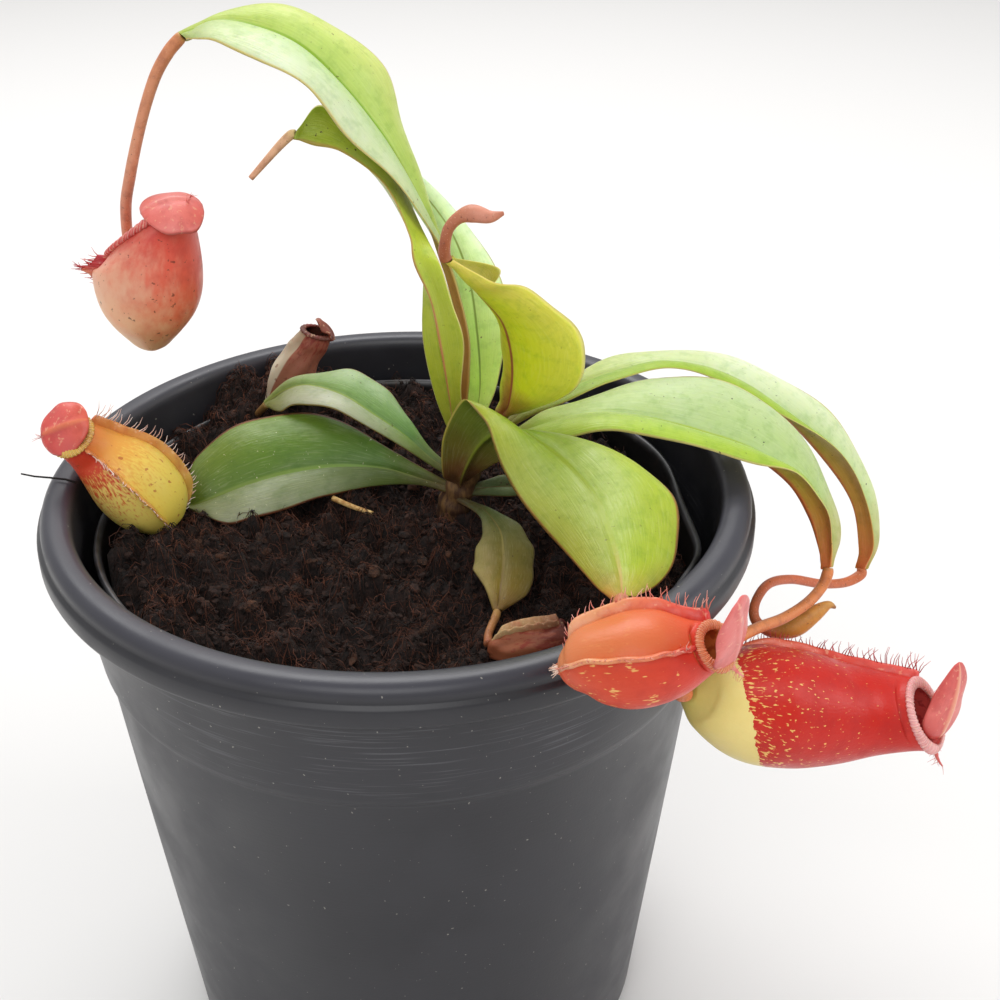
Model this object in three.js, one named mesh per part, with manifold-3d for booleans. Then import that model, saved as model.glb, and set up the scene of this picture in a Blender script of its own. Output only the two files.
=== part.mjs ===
// Potted pitcher plant (Nepenthes) in a 12 cm plastic pot. Units are millimetres, +Z is up and the
// origin is the middle of the pot's base, on the surface that it stands on.
import * as THREE from 'three';
import { mergeVertices } from 'three/addons/utils/BufferGeometryUtils.js';
import Module from 'manifold-3d';

const wasm = await Module();
wasm.setup();

// ---- driving dimensions -----------------------------------------------------------------------
const POT_HEIGHT = 111.4;
const POT_BASE_RADIUS = 43.8;
const POT_RIM_RADIUS = 60;
const POT_MOUTH_RADIUS = 54.6;
const POT_FLOOR = 4;
const POT_SEGMENTS = 40;

const LINER_WALL = 0.9;
const LINER_LIP_HEIGHT = 104;
const LINER_LIP_RADIUS = 51;
const LINER_BASE_RADIUS = 40.4;
const LINER_BASE = 4.3;

const SOIL_LEVEL = 98.4;
const SOIL_BOTTOM = 5.5;

const BLADE_THICKNESS = 0.7;
const MIDRIB_DEPTH = 0.8;
const GAP = 0.3;
const TENDRIL_GAP = 0.7;
const PITCHER_WALL = 0.8;
const FRINGE_THICKNESS = 0.7;
const SLIVER = 0.05;

// ---- colours ----------------------------------------------------------------------------------
const material = (name, color, roughness) =>
  new THREE.MeshStandardMaterial({ name, color, roughness, metalness: 0 });
const POT_PLASTIC = material('pot_plastic', 0x3b3c41, 0.45);
const LINER_PLASTIC = material('liner_plastic', 0x151517, 0.4);
const POTTING_MIX = material('potting_mix', 0x2e1c15, 0.95);
const STRAW = material('straw', 0xc9a763, 0.8);
const STEM_SKIN = material('stem_skin', 0x5b4a2c, 0.6);
const LEAF_LIGHT = material('leaf_light_green', 0x9ec24a, 0.4);
const LEAF_YOUNG = material('leaf_yellow_green', 0xc4c83c, 0.4);
const LEAF_DARK = material('leaf_dark_green', 0x4f7a38, 0.42);
const LEAF_OLIVE = material('leaf_olive', 0x85782f, 0.55);
const TENDRIL_SKIN = material('tendril_orange', 0xc8734a, 0.5);
const PITCHER_RED = material('pitcher_red', 0xc8402f, 0.4);
const PITCHER_ORANGE = material('pitcher_orange', 0xd96a45, 0.45);
const PITCHER_DRY = material('pitcher_dried', 0x8a5138, 0.8);

// ---- shared shapes ----------------------------------------------------------------------------
const v3 = (p) => new THREE.Vector3(p[0], p[1], p[2]);
const smooth = (a, b, x) => THREE.MathUtils.smoothstep(x, a, b);
const bump = (x, width) => Math.exp(-(x / width) * (x / width));

function closedGeometry(points, faces) {
  const geometry = new THREE.BufferGeometry();
  geometry.setAttribute('position', new THREE.Float32BufferAttribute(points.flatMap((p) => [p.x, p.y, p.z]), 3));
  geometry.setIndex(faces);
  return geometry;
}

// A closed body through rings that all have the same number of points, with both ends capped.
function skin(rings) {
  const n = rings[0].length;
  const points = rings.flat();
  const faces = [];
  for (let i = 0; i < rings.length - 1; i += 1) {
    for (let j = 0; j < n; j += 1) {
      const a = i * n + j;
      const b = i * n + ((j + 1) % n);
      faces.push(a, b, b + n, a, b + n, a + n);
    }
  }
  const last = (rings.length - 1) * n;
  for (let j = 1; j < n - 1; j += 1) {
    faces.push(0, j + 1, j);
    faces.push(last, last + j, last + j + 1);
  }
  return closedGeometry(points, faces);
}

function toSolid(geometry) {
  const bare = geometry.clone();
  bare.deleteAttribute('normal');
  bare.deleteAttribute('uv');
  const merged = mergeVertices(bare, 1e-4);
  return new wasm.Manifold(new wasm.Mesh({
    numProp: 3,
    vertProperties: new Float32Array(merged.attributes.position.array),
    triVerts: new Uint32Array(merged.index.array),
  }));
}

// Slivers along the joins are merged away on the way back to a geometry.
function toGeometry(solid) {
  const mesh = solid.asOriginal().simplify(SLIVER).getMesh();
  const geometry = new THREE.BufferGeometry();
  geometry.setAttribute('position', new THREE.BufferAttribute(new Float32Array(mesh.vertProperties), 3));
  geometry.setIndex(new THREE.BufferAttribute(new Uint32Array(mesh.triVerts), 1));
  return geometry;
}

// A smooth curve through points, read by station number instead of by arc length.
function rail(points) {
  const curve = new THREE.CatmullRomCurve3(points, false, 'catmullrom', 0.5);
  return (s) => curve.getPoint(s / (points.length - 1));
}

// Rings along a path; each station is [x, y, z, radius]. The frame is carried along without twist.
function pathFrames(stations, steps, front) {
  const centre = rail(stations.map(v3));
  const radius = rail(stations.map((s) => new THREE.Vector3(s[3], 0, 0)));
  const last = stations.length - 1;
  const frames = [];
  let side = front.clone();
  for (let i = 0; i <= steps; i += 1) {
    const s = (i / steps) * last;
    const p = centre(s);
    const tangent = centre(Math.min(s + 0.02, last)).sub(centre(Math.max(s - 0.02, 0))).normalize();
    side = side.clone().addScaledVector(tangent, -side.dot(tangent)).normalize();
    const across = new THREE.Vector3().crossVectors(tangent, side);
    frames.push({ t: i / steps, p, tangent, side, across, r: radius(s).x });
  }
  return frames;
}

function around(frame, r, angle, lift = 0) {
  return frame.p.clone()
    .addScaledVector(frame.side, r * Math.cos(angle))
    .addScaledVector(frame.across, r * Math.sin(angle))
    .addScaledVector(frame.tangent, lift);
}

function tube(stations, steps, sides = 6) {
  const frames = pathFrames(stations, steps, new THREE.Vector3(0.31, 0.93, 0.2));
  const rings = frames.map((f) => {
    const ring = [];
    for (let j = 0; j < sides; j += 1) ring.push(around(f, f.r, (j / sides) * Math.PI * 2));
    return ring;
  });
  return skin(rings);
}

// A leaf blade. Each station is [midrib point, offset of margin A, offset of margin B]. The halves swell
// a little between midrib and margin, and the midrib stands out below. upper is +1 where the upper face
// lies along tangent x margin A, else -1.
const ACROSS = [-1, -0.66, -0.3, 0, 0.3, 0.66, 1];

function blade({ stations, upper, swell, thickness = BLADE_THICKNESS }) {
  const mid = rail(stations.map((s) => v3(s[0])));
  const marginA = rail(stations.map((s) => v3(s[0]).add(v3(s[1]))));
  const marginB = rail(stations.map((s) => v3(s[0]).add(v3(s[2]))));
  const last = stations.length - 1;
  const steps = Math.round(last * 1.6);
  const top = [];
  const under = [];
  for (let i = 0; i <= steps; i += 1) {
    const s = (i / steps) * last;
    const m = mid(s);
    const tangent = mid(Math.min(s + 0.05, last)).sub(mid(Math.max(s - 0.05, 0))).normalize();
    const a = marginA(s).sub(m);
    const b = marginB(s).sub(m);
    const normalA = new THREE.Vector3().crossVectors(tangent, a).normalize().multiplyScalar(upper);
    const normalB = new THREE.Vector3().crossVectors(b, tangent).normalize().multiplyScalar(upper);
    const normalMid = normalA.clone().add(normalB).normalize();
    for (const v of ACROSS) {
      const w = Math.abs(v);
      const half = v < 0 ? a : b;
      const halfNormal = v < 0 ? normalA : normalB;
      const normal = normalMid.clone().lerp(halfNormal, Math.min(1, w * 1.6)).normalize();
      const rise = half.length() * (v < 0 ? swell[0] : swell[1]) * 4 * w * (1 - w);
      const p = m.clone().addScaledVector(half, w).addScaledVector(halfNormal, rise);
      const rib = MIDRIB_DEPTH * bump(v, 0.12) * smooth(0, 1.5, half.length());
      top.push(p.clone().addScaledVector(normal, thickness / 2));
      under.push(p.clone().addScaledVector(normal, -thickness / 2 - rib));
    }
  }
  return bladeShell(top, under, ACROSS.length, steps + 1, upper);
}

// Both faces of a blade are split along the same diagonals, so that a waved blade never crosses itself.
function bladeShell(top, under, across, along, upper) {
  const points = top.concat(under);
  const shift = top.length;
  const faces = [];
  const push = (a, b, c) => (upper > 0 ? faces.push(a, b, c) : faces.push(a, c, b));
  const quad = (a, b, c, d) => {
    push(a, b, c);
    push(a, c, d);
  };
  for (let i = 0; i < along - 1; i += 1) {
    for (let j = 0; j < across - 1; j += 1) {
      const a = i * across + j;
      const b = a + 1;
      const d = a + across;
      const c = d + 1;
      quad(a, b, c, d);
      push(a + shift, c + shift, b + shift);
      push(a + shift, d + shift, c + shift);
    }
    const left = i * across;
    const right = left + across - 1;
    quad(left, left + across, left + across + shift, left + shift);
    quad(right + shift, right + across + shift, right + across, right);
  }
  const end = (along - 1) * across;
  for (let j = 0; j < across - 1; j += 1) {
    quad(j, j + shift, j + 1 + shift, j + 1);
    quad(end + j + 1, end + j + 1 + shift, end + j + shift, end + j);
  }
  return closedGeometry(points, faces);
}

// A pitcher: a hollow cup along a bent axis, with a rolled lip, two toothed wings down its front and an
// oval lid hinged at the back of the mouth. Axis stations are [x, y, z, radius], from the foot upwards.
function pitcher({ axis, front, tilt, lip, wing, lid, sides = 12, steps = 7 }) {
  const frames = pathFrames(axis, steps, v3(front));
  const end = frames[frames.length - 1];
  const ring = (f, r, lift) => {
    const points = [];
    for (let j = 0; j < sides; j += 1) {
      const angle = (j / sides) * Math.PI * 2;
      const slope = -tilt * r * Math.cos(angle) * smooth(0.55, 1, f.t);
      points.push(around(f, r, angle, slope + lift));
    }
    return points;
  };
  const rings = frames.map((f) => ring(f, f.r, 0));
  rings.push(ring(end, end.r + lip, 0.2));
  rings.push(ring(end, end.r + lip * 0.9, 0.2 + lip * 0.6));
  rings.push(ring(end, end.r - 0.1, 0.2 + lip * 0.8));
  rings.push(ring(end, end.r - PITCHER_WALL, 0.1));
  const hollow = frames.filter((f) => f.t > 0.2 && f.t < 0.99 && f.r > PITCHER_WALL + 1);
  hollow.reverse().forEach((f) => rings.push(ring(f, f.r - PITCHER_WALL, 0)));
  let body = toSolid(skin(rings));
  for (const sign of [-1, 1]) {
    if (wing) body = body.add(toSolid(fringe(frames, sign, tilt, wing)));
  }
  return body.add(toSolid(lidShape(end, tilt, lid)));
}

// One wing: a thin upright strip that follows the cup, its edge cut into teeth by a rule.
function fringe(frames, sign, tilt, { angle, height, tooth, teeth, from }) {
  const rings = [];
  const count = teeth * 2;
  for (let k = 0; k <= count; k += 1) {
    const u = from + (1 - from) * (k / count);
    const at = u * (frames.length - 1);
    const i = Math.min(Math.floor(at), frames.length - 2);
    const w = at - i;
    const a = frames[i];
    const b = frames[i + 1];
    const f = {
      p: a.p.clone().lerp(b.p, w),
      side: a.side.clone().lerp(b.side, w).normalize(),
      across: a.across.clone().lerp(b.across, w).normalize(),
      tangent: a.tangent.clone().lerp(b.tangent, w).normalize(),
    };
    const r = a.r + (b.r - a.r) * w;
    const slope = -tilt * r * Math.cos(angle) * smooth(0.55, 1, u);
    const spread = FRINGE_THICKNESS / 2;
    const reach = height * smooth(0, 0.25, k / count) + (k % 2 ? tooth : 0);
    const out = around(f, r + reach, sign * angle, slope).sub(around(f, r - 0.5, sign * angle, slope));
    const sideways = new THREE.Vector3().crossVectors(f.tangent, out).normalize();
    const inner = around(f, r - 0.5, sign * angle, slope);
    const outer = inner.clone().add(out);
    const tip = k % 2 ? spread * 0.8 : spread;
    rings.push([
      inner.clone().addScaledVector(sideways, -spread),
      outer.clone().addScaledVector(sideways, -tip),
      outer.clone().addScaledVector(sideways, tip),
      inner.clone().addScaledVector(sideways, spread),
    ]);
  }
  return orient(skin(rings));
}

// The lid: an oval shield, domed outwards, with a low ridge down its middle and its root in the lip.
function lidShape(end, tilt, { length, width, lift, reach, dome, turn }) {
  const geometry = new THREE.SphereGeometry(1, 12, 6);
  const position = geometry.attributes.position;
  const root = around(end, end.r + 0.2, Math.PI, tilt * end.r + 0.2);
  const along = end.tangent.clone().multiplyScalar(Math.sin(lift)).addScaledVector(end.side, Math.cos(lift)).normalize();
  const across = end.across.clone().applyAxisAngle(along, turn);
  const normal = new THREE.Vector3().crossVectors(across, along).normalize();
  if (normal.dot(end.tangent) < 0) normal.negate();
  for (let i = 0; i < position.count; i += 1) {
    const x = position.getX(i);
    const y = position.getZ(i);
    const flat = position.getY(i) * (0.55 + 0.35 * bump(y, 0.18));
    const sag = dome * (1 - x * x * 0.6 - y * y) - dome;
    const p = root.clone()
      .addScaledVector(along, reach + (length / 2) * (x + 1))
      .addScaledVector(across, (width / 2) * y)
      .addScaledVector(normal, flat + sag);
    position.setXYZ(i, p.x, p.y, p.z);
  }
  return orient(geometry);
}

// Turns a geometry inside out where its volume comes out negative.
function orient(geometry) {
  const bare = geometry.clone();
  bare.deleteAttribute('normal');
  bare.deleteAttribute('uv');
  const merged = mergeVertices(bare, 1e-4);
  const p = merged.attributes.position;
  const index = merged.index.array;
  let volume = 0;
  for (let i = 0; i < index.length; i += 3) {
    const [a, b, c] = [0, 1, 2].map((k) => new THREE.Vector3().fromBufferAttribute(p, index[i + k]));
    volume += a.dot(b.cross(c));
  }
  const faces = [];
  for (let i = 0; i < index.length; i += 3) {
    if (index[i] === index[i + 1] || index[i + 1] === index[i + 2] || index[i] === index[i + 2]) continue;
    if (volume < 0) faces.push(index[i], index[i + 2], index[i + 1]);
    else faces.push(index[i], index[i + 1], index[i + 2]);
  }
  merged.setIndex(faces);
  return merged;
}

const plant = new THREE.Group();

function place(name, geometry, look) {
  const mesh = new THREE.Mesh(orient(geometry), look.clone());
  mesh.name = name;
  plant.add(mesh);
}

// ---- outer pot: one lathe-turned wall with a floor, a stacking band and a broad rounded rim -----------
const potProfile = [
  [0, 0], [POT_BASE_RADIUS - 1.4, 0], [POT_BASE_RADIUS, 1.4],
  [52.2, 84], [52.9, 85], [55.4, 104.4], [59, 104.4],
  [POT_RIM_RADIUS, 105.2], [POT_RIM_RADIUS, 108], [59.2, 108.6], [59.3, 109.4], [58.6, 110.8],
  [57.2, POT_HEIGHT], [55.6, POT_HEIGHT], [POT_MOUTH_RADIUS, 110.7], [54.2, 109.4],
  [53.6, 101], [50.8, 84], [42.4, POT_FLOOR], [0, POT_FLOOR],
].map(([r, z]) => new THREE.Vector2(r, z));
const potShape = new THREE.LatheGeometry(potProfile, POT_SEGMENTS);
potShape.rotateX(Math.PI / 2);
place('outer_pot', potShape, POT_PLASTIC);

// ---- liner: the thin nursery pot inside, pushed in a little on its right side ---------------------------
const degrees = (a) => (a * Math.PI) / 180;

function linerRadius(angle, z) {
  const rise = (z - LINER_BASE) / (LINER_LIP_HEIGHT - LINER_BASE);
  const round = LINER_BASE_RADIUS + (LINER_LIP_RADIUS - LINER_BASE_RADIUS) * rise;
  const turn = Math.atan2(Math.sin(angle), Math.cos(angle));
  const dent = -2.3 * bump(turn - degrees(5), degrees(15)) + 0.9 * bump(turn + degrees(14), degrees(7))
    + 0.6 * bump(turn - degrees(-166), degrees(16)) + 0.25 * Math.sin(angle * 3 + 1);
  return round + dent * smooth(0.6, 1, rise);
}

function linerRing(z, inset, sides = 40) {
  const ring = [];
  for (let j = 0; j < sides; j += 1) {
    const angle = (j / sides) * Math.PI * 2;
    const r = linerRadius(angle, z) - inset;
    ring.push(new THREE.Vector3(r * Math.cos(angle), r * Math.sin(angle), z));
  }
  return ring;
}

place('liner_pot', skin([
  linerRing(LINER_BASE, 0.6),
  linerRing(LINER_BASE + 1, 0),
  linerRing(70, 0),
  linerRing(94, 0),
  linerRing(LINER_LIP_HEIGHT - 0.4, 0),
  linerRing(LINER_LIP_HEIGHT, 0.2),
  linerRing(LINER_LIP_HEIGHT, LINER_WALL - 0.2),
  linerRing(LINER_LIP_HEIGHT - 0.4, LINER_WALL),
  linerRing(94, LINER_WALL),
  linerRing(70, LINER_WALL),
  linerRing(LINER_BASE + LINER_WALL, LINER_WALL),
]), LINER_PLASTIC);

// ---- potting mix: a lumpy top over the liner's inside, heaped at the back left ---------------------------
const SOIL_RINGS = [0.14, 0.3, 0.45, 0.58, 0.7, 0.8, 0.89, 0.96, 1];
const SOIL_SIDES = 40;

function soilHeight(x, y) {
  const lumps = 0.9 * Math.sin(x * 0.31 + 1.3) * Math.cos(y * 0.27 - 0.4)
    + 0.6 * Math.sin(x * 0.62 - y * 0.41) + 0.4 * Math.cos(x * 0.9 + y * 0.77 + 2);
  const heap = (cx, cy, width, height) => height * bump(Math.hypot(x - cx, y - cy), width);
  return SOIL_LEVEL + lumps
    + heap(-30, 42, 15, 5.5) + heap(2, 48, 18, 3.5) + heap(-46, -12, 9, 2.5) + heap(26, 34, 16, 1.5)
    - heap(10, -44, 22, 1.8) - heap(36, -22, 14, 1) - heap(-22, 12, 12, 1.2) - heap(12, -20, 11, 0.6);
}

function soilShape() {
  const rings = [];
  const edge = (angle) => linerRadius(angle, SOIL_LEVEL) - LINER_WALL - GAP - 0.1;
  for (const [z, inset] of [[SOIL_BOTTOM, 0.3], [60, 0]]) {
    const ring = linerRing(z, LINER_WALL + GAP + inset, SOIL_SIDES);
    rings.push(ring);
  }
  for (const share of [...SOIL_RINGS].reverse()) {
    const ring = [];
    for (let j = 0; j < SOIL_SIDES; j += 1) {
      const angle = (j / SOIL_SIDES) * Math.PI * 2;
      const r = edge(angle) * share;
      const x = r * Math.cos(angle);
      const y = r * Math.sin(angle);
      ring.push(new THREE.Vector3(x, y, soilHeight(x, y)));
    }
    rings.push(ring);
  }
  return skin(rings);
}

// ---- stem: short and leaning, standing in a plain hole in the mix ---------------------------------------
const STEM = [[8, 11, 92, 3], [8.6, 11, 98, 2.9], [10.5, 10.6, 104, 2.6], [13, 10.2, 110, 2.3], [15.6, 9.8, 115, 1.9], [16.6, 9.6, 117, 1.5]];
const grown = (stations, by) => stations.map(([x, y, z, r]) => [x, y, z, r + by]);
const stemClear = toSolid(tube(grown([[8, 11, 91.7, 3], ...STEM.slice(1), [17, 9.5, 117.4, 1.5]], GAP), 9, 9));

place('potting_mix', toGeometry(toSolid(soilShape()).subtract(stemClear)), POTTING_MIX);
place('stem', tube(STEM, 8, 9), STEM_SKIN);

// ---- straw: one loose stalk that lies on the mix --------------------------------------------------------
place('straw', tube([[-12.8, 9.2, 100.9, 0.5], [-9, 7, 100.4, 0.45], [-5.4, 4.6, 100.5, 0.4]], 3, 5), STRAW);

// ---- leaf blades ----------------------------------------------------------------------------------------
const LEAVES = {
  tall: {
    look: LEAF_LIGHT, upper: 1, swell: [0.1, 0.12],
    stations: [
      [[12.6, 11, 110], [0.6, -0.6, 0.2], [-0.6, 0.6, -0.2]],
      [[10.8, 12.8, 116.5], [0.5, -0.6, 0.2], [-0.5, 0.6, -0.2]],
      [[11, 14, 122.5], [0.6, -0.6, 0.1], [-0.6, 0.6, -0.1]],
      [[11, 16, 128.5], [0.7, -0.6, 0.3], [-0.6, 0.6, -0.2]],
      [[9.5, 18, 135.5], [0.7, -0.7, 0.3], [-0.6, 0.7, -0.2]],
      [[8, 20, 141.5], [0.2, -1.2, 0.2], [-0.6, 1.2, -0.4]],
      [[5.5, 22, 147.5], [-1, -2.5, 1], [0, 3, -0.5]],
      [[1, 24, 156], [-2.5, -6, 1.5], [2, 5, -1.5]],
      [[-3, 25, 162.5], [-5, -8, 2], [3.5, 8, -1.5]],
      [[-9, 26, 170], [-5, -9, 2], [6.5, 8, 0.5]],
      [[-15.5, 27, 176], [-5.5, -9, 0], [5.5, 8, 1]],
      [[-23, 28, 179], [-3.5, -8, -1.5], [5, 7, 1.5]],
      [[-29.5, 29, 179.5], [-1, -6, -1.5], [2.5, 4, 0.5]],
      [[-35, 29, 177], [0.8, -1, -0.2], [-0.8, 1, 0.2]],
    ],
  },
  upright: {
    look: LEAF_LIGHT, upper: 1, swell: [0, 0],
    stations: [
      [[11, 9.6, 106.5], [0.6, -0.9, 0.3], [-0.8, 0.5, -0.3]],
      [[10, 7.8, 113.5], [1, -0.8, 0.4], [-1.3, 0.6, -0.5]],
      [[9, 7, 122.5], [1.5, -2, 1.5], [-3, 2, -1.5]],
      [[7.5, 8, 131.5], [3.5, -2, 1.5], [-3.5, 2, -0.5]],
      [[6, 11, 138.5], [3, -2, 0.5], [-2, 3, -1]],
      [[3.5, 14, 143.5], [3.5, -1, 0.5], [0.5, 5, -0.5]],
      [[2, 17, 147.5], [2, 4, -1], [-0.8, 6.5, -0.8]],
      [[-2, 20, 155], [1.5, 6, 0], [-2.4, 7.4, -1]],
      [[-9, 23, 160], [1, 4, 2.5], [-1.6, 6.8, 0.2]],
      [[-14, 24.5, 161], [1, 3.5, 5], [0, 5.5, 1.2]],
      [[-17, 25, 162], [0.4, 0.2, 0.8], [0, 1.4, -0.2]],
    ],
  },
  rear: {
    look: LEAF_LIGHT, upper: -1, swell: [0.08, 0.08],
    stations: [
      [[12.5, 11.5, 107], [0.9, -0.5, 0.4], [-0.9, 0.5, -0.4]],
      [[13, 15, 113.5], [1.2, -0.6, 0.3], [-1.2, 0.8, -0.6]],
      [[13.5, 19, 119.5], [3, -1, -0.5], [-3.5, 2, -1.5]],
      [[13, 23, 126.5], [5, -1, 1.5], [-4.5, 2, -1]],
      [[11.5, 28, 135], [6, -1, -0.5], [-4, 2, -2]],
      [[8, 33, 142.5], [4.5, 1, -1.5], [-3, 1, -2.5]],
      [[1.5, 37, 150], [3.5, 1, -1.5], [-2, 1, -2]],
      [[-3, 39, 155], [0.4, -0.6, 0.3], [-0.5, 0.6, 0.1]],
    ],
  },
  young: {
    look: LEAF_YOUNG, upper: -1, swell: [0.14, 0.06],
    stations: [
      [[16.3, 9.6, 114.4], [0.8, -0.6, 0], [-0.8, 0.6, 0]],
      [[17.4, 8.4, 118], [1.3, -1, 0.3], [-1.3, 1, 0.2]],
      [[18.5, 6, 121.5], [4.5, -3, 0.5], [-1.5, 5, -1.5]],
      [[19, 4, 128], [10.5, -6, 0.5], [-1.5, 7, -3]],
      [[18.5, 1, 134.5], [12, -4, 2], [-1, 8, -2.5]],
      [[17, -2, 140.5], [10, -3, 2], [0, 7, -2.5]],
      [[13.5, -5, 146], [8, -3, 2], [2.5, 7, -1.5]],
      [[11, -8, 150], [4.5, -2, 0.5], [6, 7.5, -1.5]],
      [[9, -9.5, 153.5], [0.9, -0.5, 0.1], [0.6, 1, 0]],
    ],
  },
  right: {
    look: LEAF_LIGHT, upper: -1, swell: [0.16, 0.1],
    stations: [
      [[14.6, 9, 110.4], [0.3, -1, 0], [-0.2, 1, 0]],
      [[19.5, 6.5, 115], [-0.1, -1.6, 0], [0.3, 1.6, 0.2]],
      [[24.5, 5, 118], [0, -5, -0.5], [1, 4, 1]],
      [[32.5, 4, 120.5], [0.5, -7, 0], [2, 8, -0.5]],
      [[41.5, 3, 120], [-1, -7, 1], [2, 12, 2]],
      [[50.5, 2, 118], [-0.5, -7, 0.5], [4, 14, 3]],
      [[59.5, 1, 115], [0, -6, 1], [4.5, 13, 2.5]],
      [[66.5, 0, 110], [0, -5, 3.5], [4.5, 11, 0.5]],
      [[70.5, -1, 104], [1, -4, 4], [5.5, 8, -2]],
      [[72.5, -3, 99], [1, -2, 1.5], [4, 5, -2.5]],
      [[73.5, -4.5, 95], [0.4, -0.6, 0.6], [0.9, 0.9, -0.2]],
    ],
  },
  far_right: {
    look: LEAF_LIGHT, upper: -1, swell: [0.12, 0.1],
    stations: [
      [[15, 10.5, 110.5], [0.3, -1, 0], [-0.2, 1, 0]],
      [[20, 11.8, 115.5], [0.2, -1.1, -0.3], [-0.4, 1.2, 0.6]],
      [[27.5, 14.5, 119], [0.5, -3.5, 0], [1, 4, 0.5]],
      [[36.5, 17.5, 121.5], [0, -4.5, 0.5], [1.5, 6, 0.5]],
      [[46.5, 21, 122], [-0.5, -4.5, 1], [3, 7, -1]],
      [[57.5, 22, 119], [-1, -4.5, 0.5], [4, 7, -0.5]],
      [[68, 21, 112.5], [-0.5, -4.5, 1], [4.5, 6, 1]],
      [[77, 19.5, 103.5], [1.5, -4, 3], [3.5, 5, 3.5]],
      [[83, 18, 95], [1, -2, 2], [3.5, 4, 1.5]],
      [[85, 16, 86.5], [1.6, -1, 1.3], [3.4, 2, 0.5]],
      [[85, 15, 82], [0.5, -0.6, 0.3], [1.3, 0.5, -0.1]],
    ],
  },
  front: {
    look: LEAF_LIGHT, upper: -1, swell: [0.1, 0.14],
    stations: [
      [[9.8, 9.4, 104], [-1, -0.3, 0.2], [1, -0.3, 0.2]],
      [[10.5, 5, 108.5], [-3.5, 0.3, -0.5], [3, 0, 0]],
      [[14, 2.5, 116], [-6.5, 2, 0.5], [4.5, -2.5, -1.5]],
      [[18, -1.5, 120.5], [-7, 3, 4], [5.5, -2.5, -3]],
      [[22, -6, 121.5], [-7.5, 3, 1], [10.5, -1.5, -2]],
      [[27, -13, 121], [-9.5, 2, -3], [13, 0.5, -1.5]],
      [[31.5, -20.5, 119], [-10, 1, -3.5], [13, 2.5, -2.5]],
      [[33.5, -28.5, 117.2], [-7, 0, -3], [11, 3, -4]],
      [[34.6, -36, 115.2], [-4, -1, -1.5], [7, 3, -3.5]],
      [[34.6, -42, 114.4], [-1.6, 0, -0.1], [1.6, 0.8, -0.5]],
    ],
  },
  left_low: {
    look: LEAF_DARK, upper: 1, swell: [0.1, 0.12],
    stations: [
      [[8.5, 10.5, 102], [-0.1, -1, -0.6], [-0.1, 1, 0.6]],
      [[2.5, 11.2, 104], [0.2, -0.4, -1.4], [-0.1, 1, 2]],
      [[-4.5, 13, 105], [0, -1, -3.2], [0, 3.5, 3]],
      [[-12.5, 13.5, 105], [0.5, -4, -3.4], [0, 8.5, 5]],
      [[-20.5, 13, 104], [0.5, -6.5, -3.4], [-2, 11.5, 6]],
      [[-28, 10.5, 103], [1, -7.5, -3], [-3.5, 10.5, 6]],
      [[-33.5, 8, 101.8], [2, -5.5, -2], [-4, 7, 4.5]],
      [[-37, 7.5, 100.6], [2, -3, -0.5], [-1.5, 2.5, 2]],
      [[-38.4, 8, 100.1], [0.5, -1.2, -0.2], [-0.5, 1, 0.4]],
    ],
  },
  back_left: {
    look: LEAF_DARK, upper: 1, swell: [0.1, 0.1],
    stations: [
      [[9.5, 11.5, 104], [0.2, -0.6, -1], [-0.2, 0.6, 1]],
      [[4.5, 13, 107], [-0.3, -0.5, -1], [0.1, 1.6, 1]],
      [[0, 15, 110.5], [-0.4, -2, -1.3], [0.8, 3.5, 1.4]],
      [[-5.5, 18, 113], [-0.5, -2.5, -1.5], [2, 6, 2]],
      [[-11.5, 22, 115], [-1, -4, -1], [2, 6, 2]],
      [[-18, 26, 115], [-1.5, -4, -2], [1.5, 3, 1]],
      [[-22.5, 28, 113], [-1, -3, -3], [0.5, 1.5, 1.5]],
      [[-26.5, 29, 109.5], [0.6, -0.9, -0.4], [-0.4, 0.9, 0.3]],
    ],
  },
  withered: {
    look: LEAF_OLIVE, upper: -1, swell: [0.1, 0.12],
    stations: [
      [[9.2, 9.5, 100.8], [-0.7, -0.2, 0], [0.7, -0.2, 0]],
      [[12.6, 4.6, 102], [-0.9, -0.4, -0.2], [0.9, -0.2, 0.3]],
      [[15, -1.5, 104], [-1.5, 0.8, -1], [2, -0.5, 0.5]],
      [[17, -7.5, 104.5], [-3, 3, -1.6], [3.5, 1.5, 0]],
      [[17.5, -12.5, 104], [-4.5, 2.6, -2], [5, 2.5, -1.6]],
      [[17.5, -17, 103], [-5, 2.5, -1.5], [5, 1.5, -1.5]],
      [[17, -21, 101.6], [-2.5, 1.5, -0.5], [4.5, 0.5, -1]],
      [[16.5, -25.5, 100.6], [-0.6, 0.3, -0.1], [0.8, 0.3, -0.2]],
    ],
  },
  shaded: {
    look: LEAF_DARK, upper: -1, swell: [0.1, 0.1],
    stations: [
      [[9.5, 10.5, 101.2], [0.2, -0.8, -0.3], [-0.2, 0.8, 0.3]],
      [[14, 9.6, 102.6], [0.1, -1.2, -0.8], [0.3, 1, 1.2]],
      [[18, 9.6, 103], [0.5, -1.8, -1], [0.1, 1.6, 1.6]],
      [[22, 9.8, 102.4], [0.2, -1.2, -0.5], [0, 1.2, 0.8]],
      [[24.6, 9.8, 101.6], [0, -0.5, -0.1], [0, 0.5, 0.1]],
    ],
  },
};

for (const [name, leaf] of Object.entries(LEAVES)) {
  const whole = toSolid(orient(blade(leaf)));
  place(`leaf_${name}`, toGeometry(whole.subtract(stemClear)), leaf.look);
}

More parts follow.
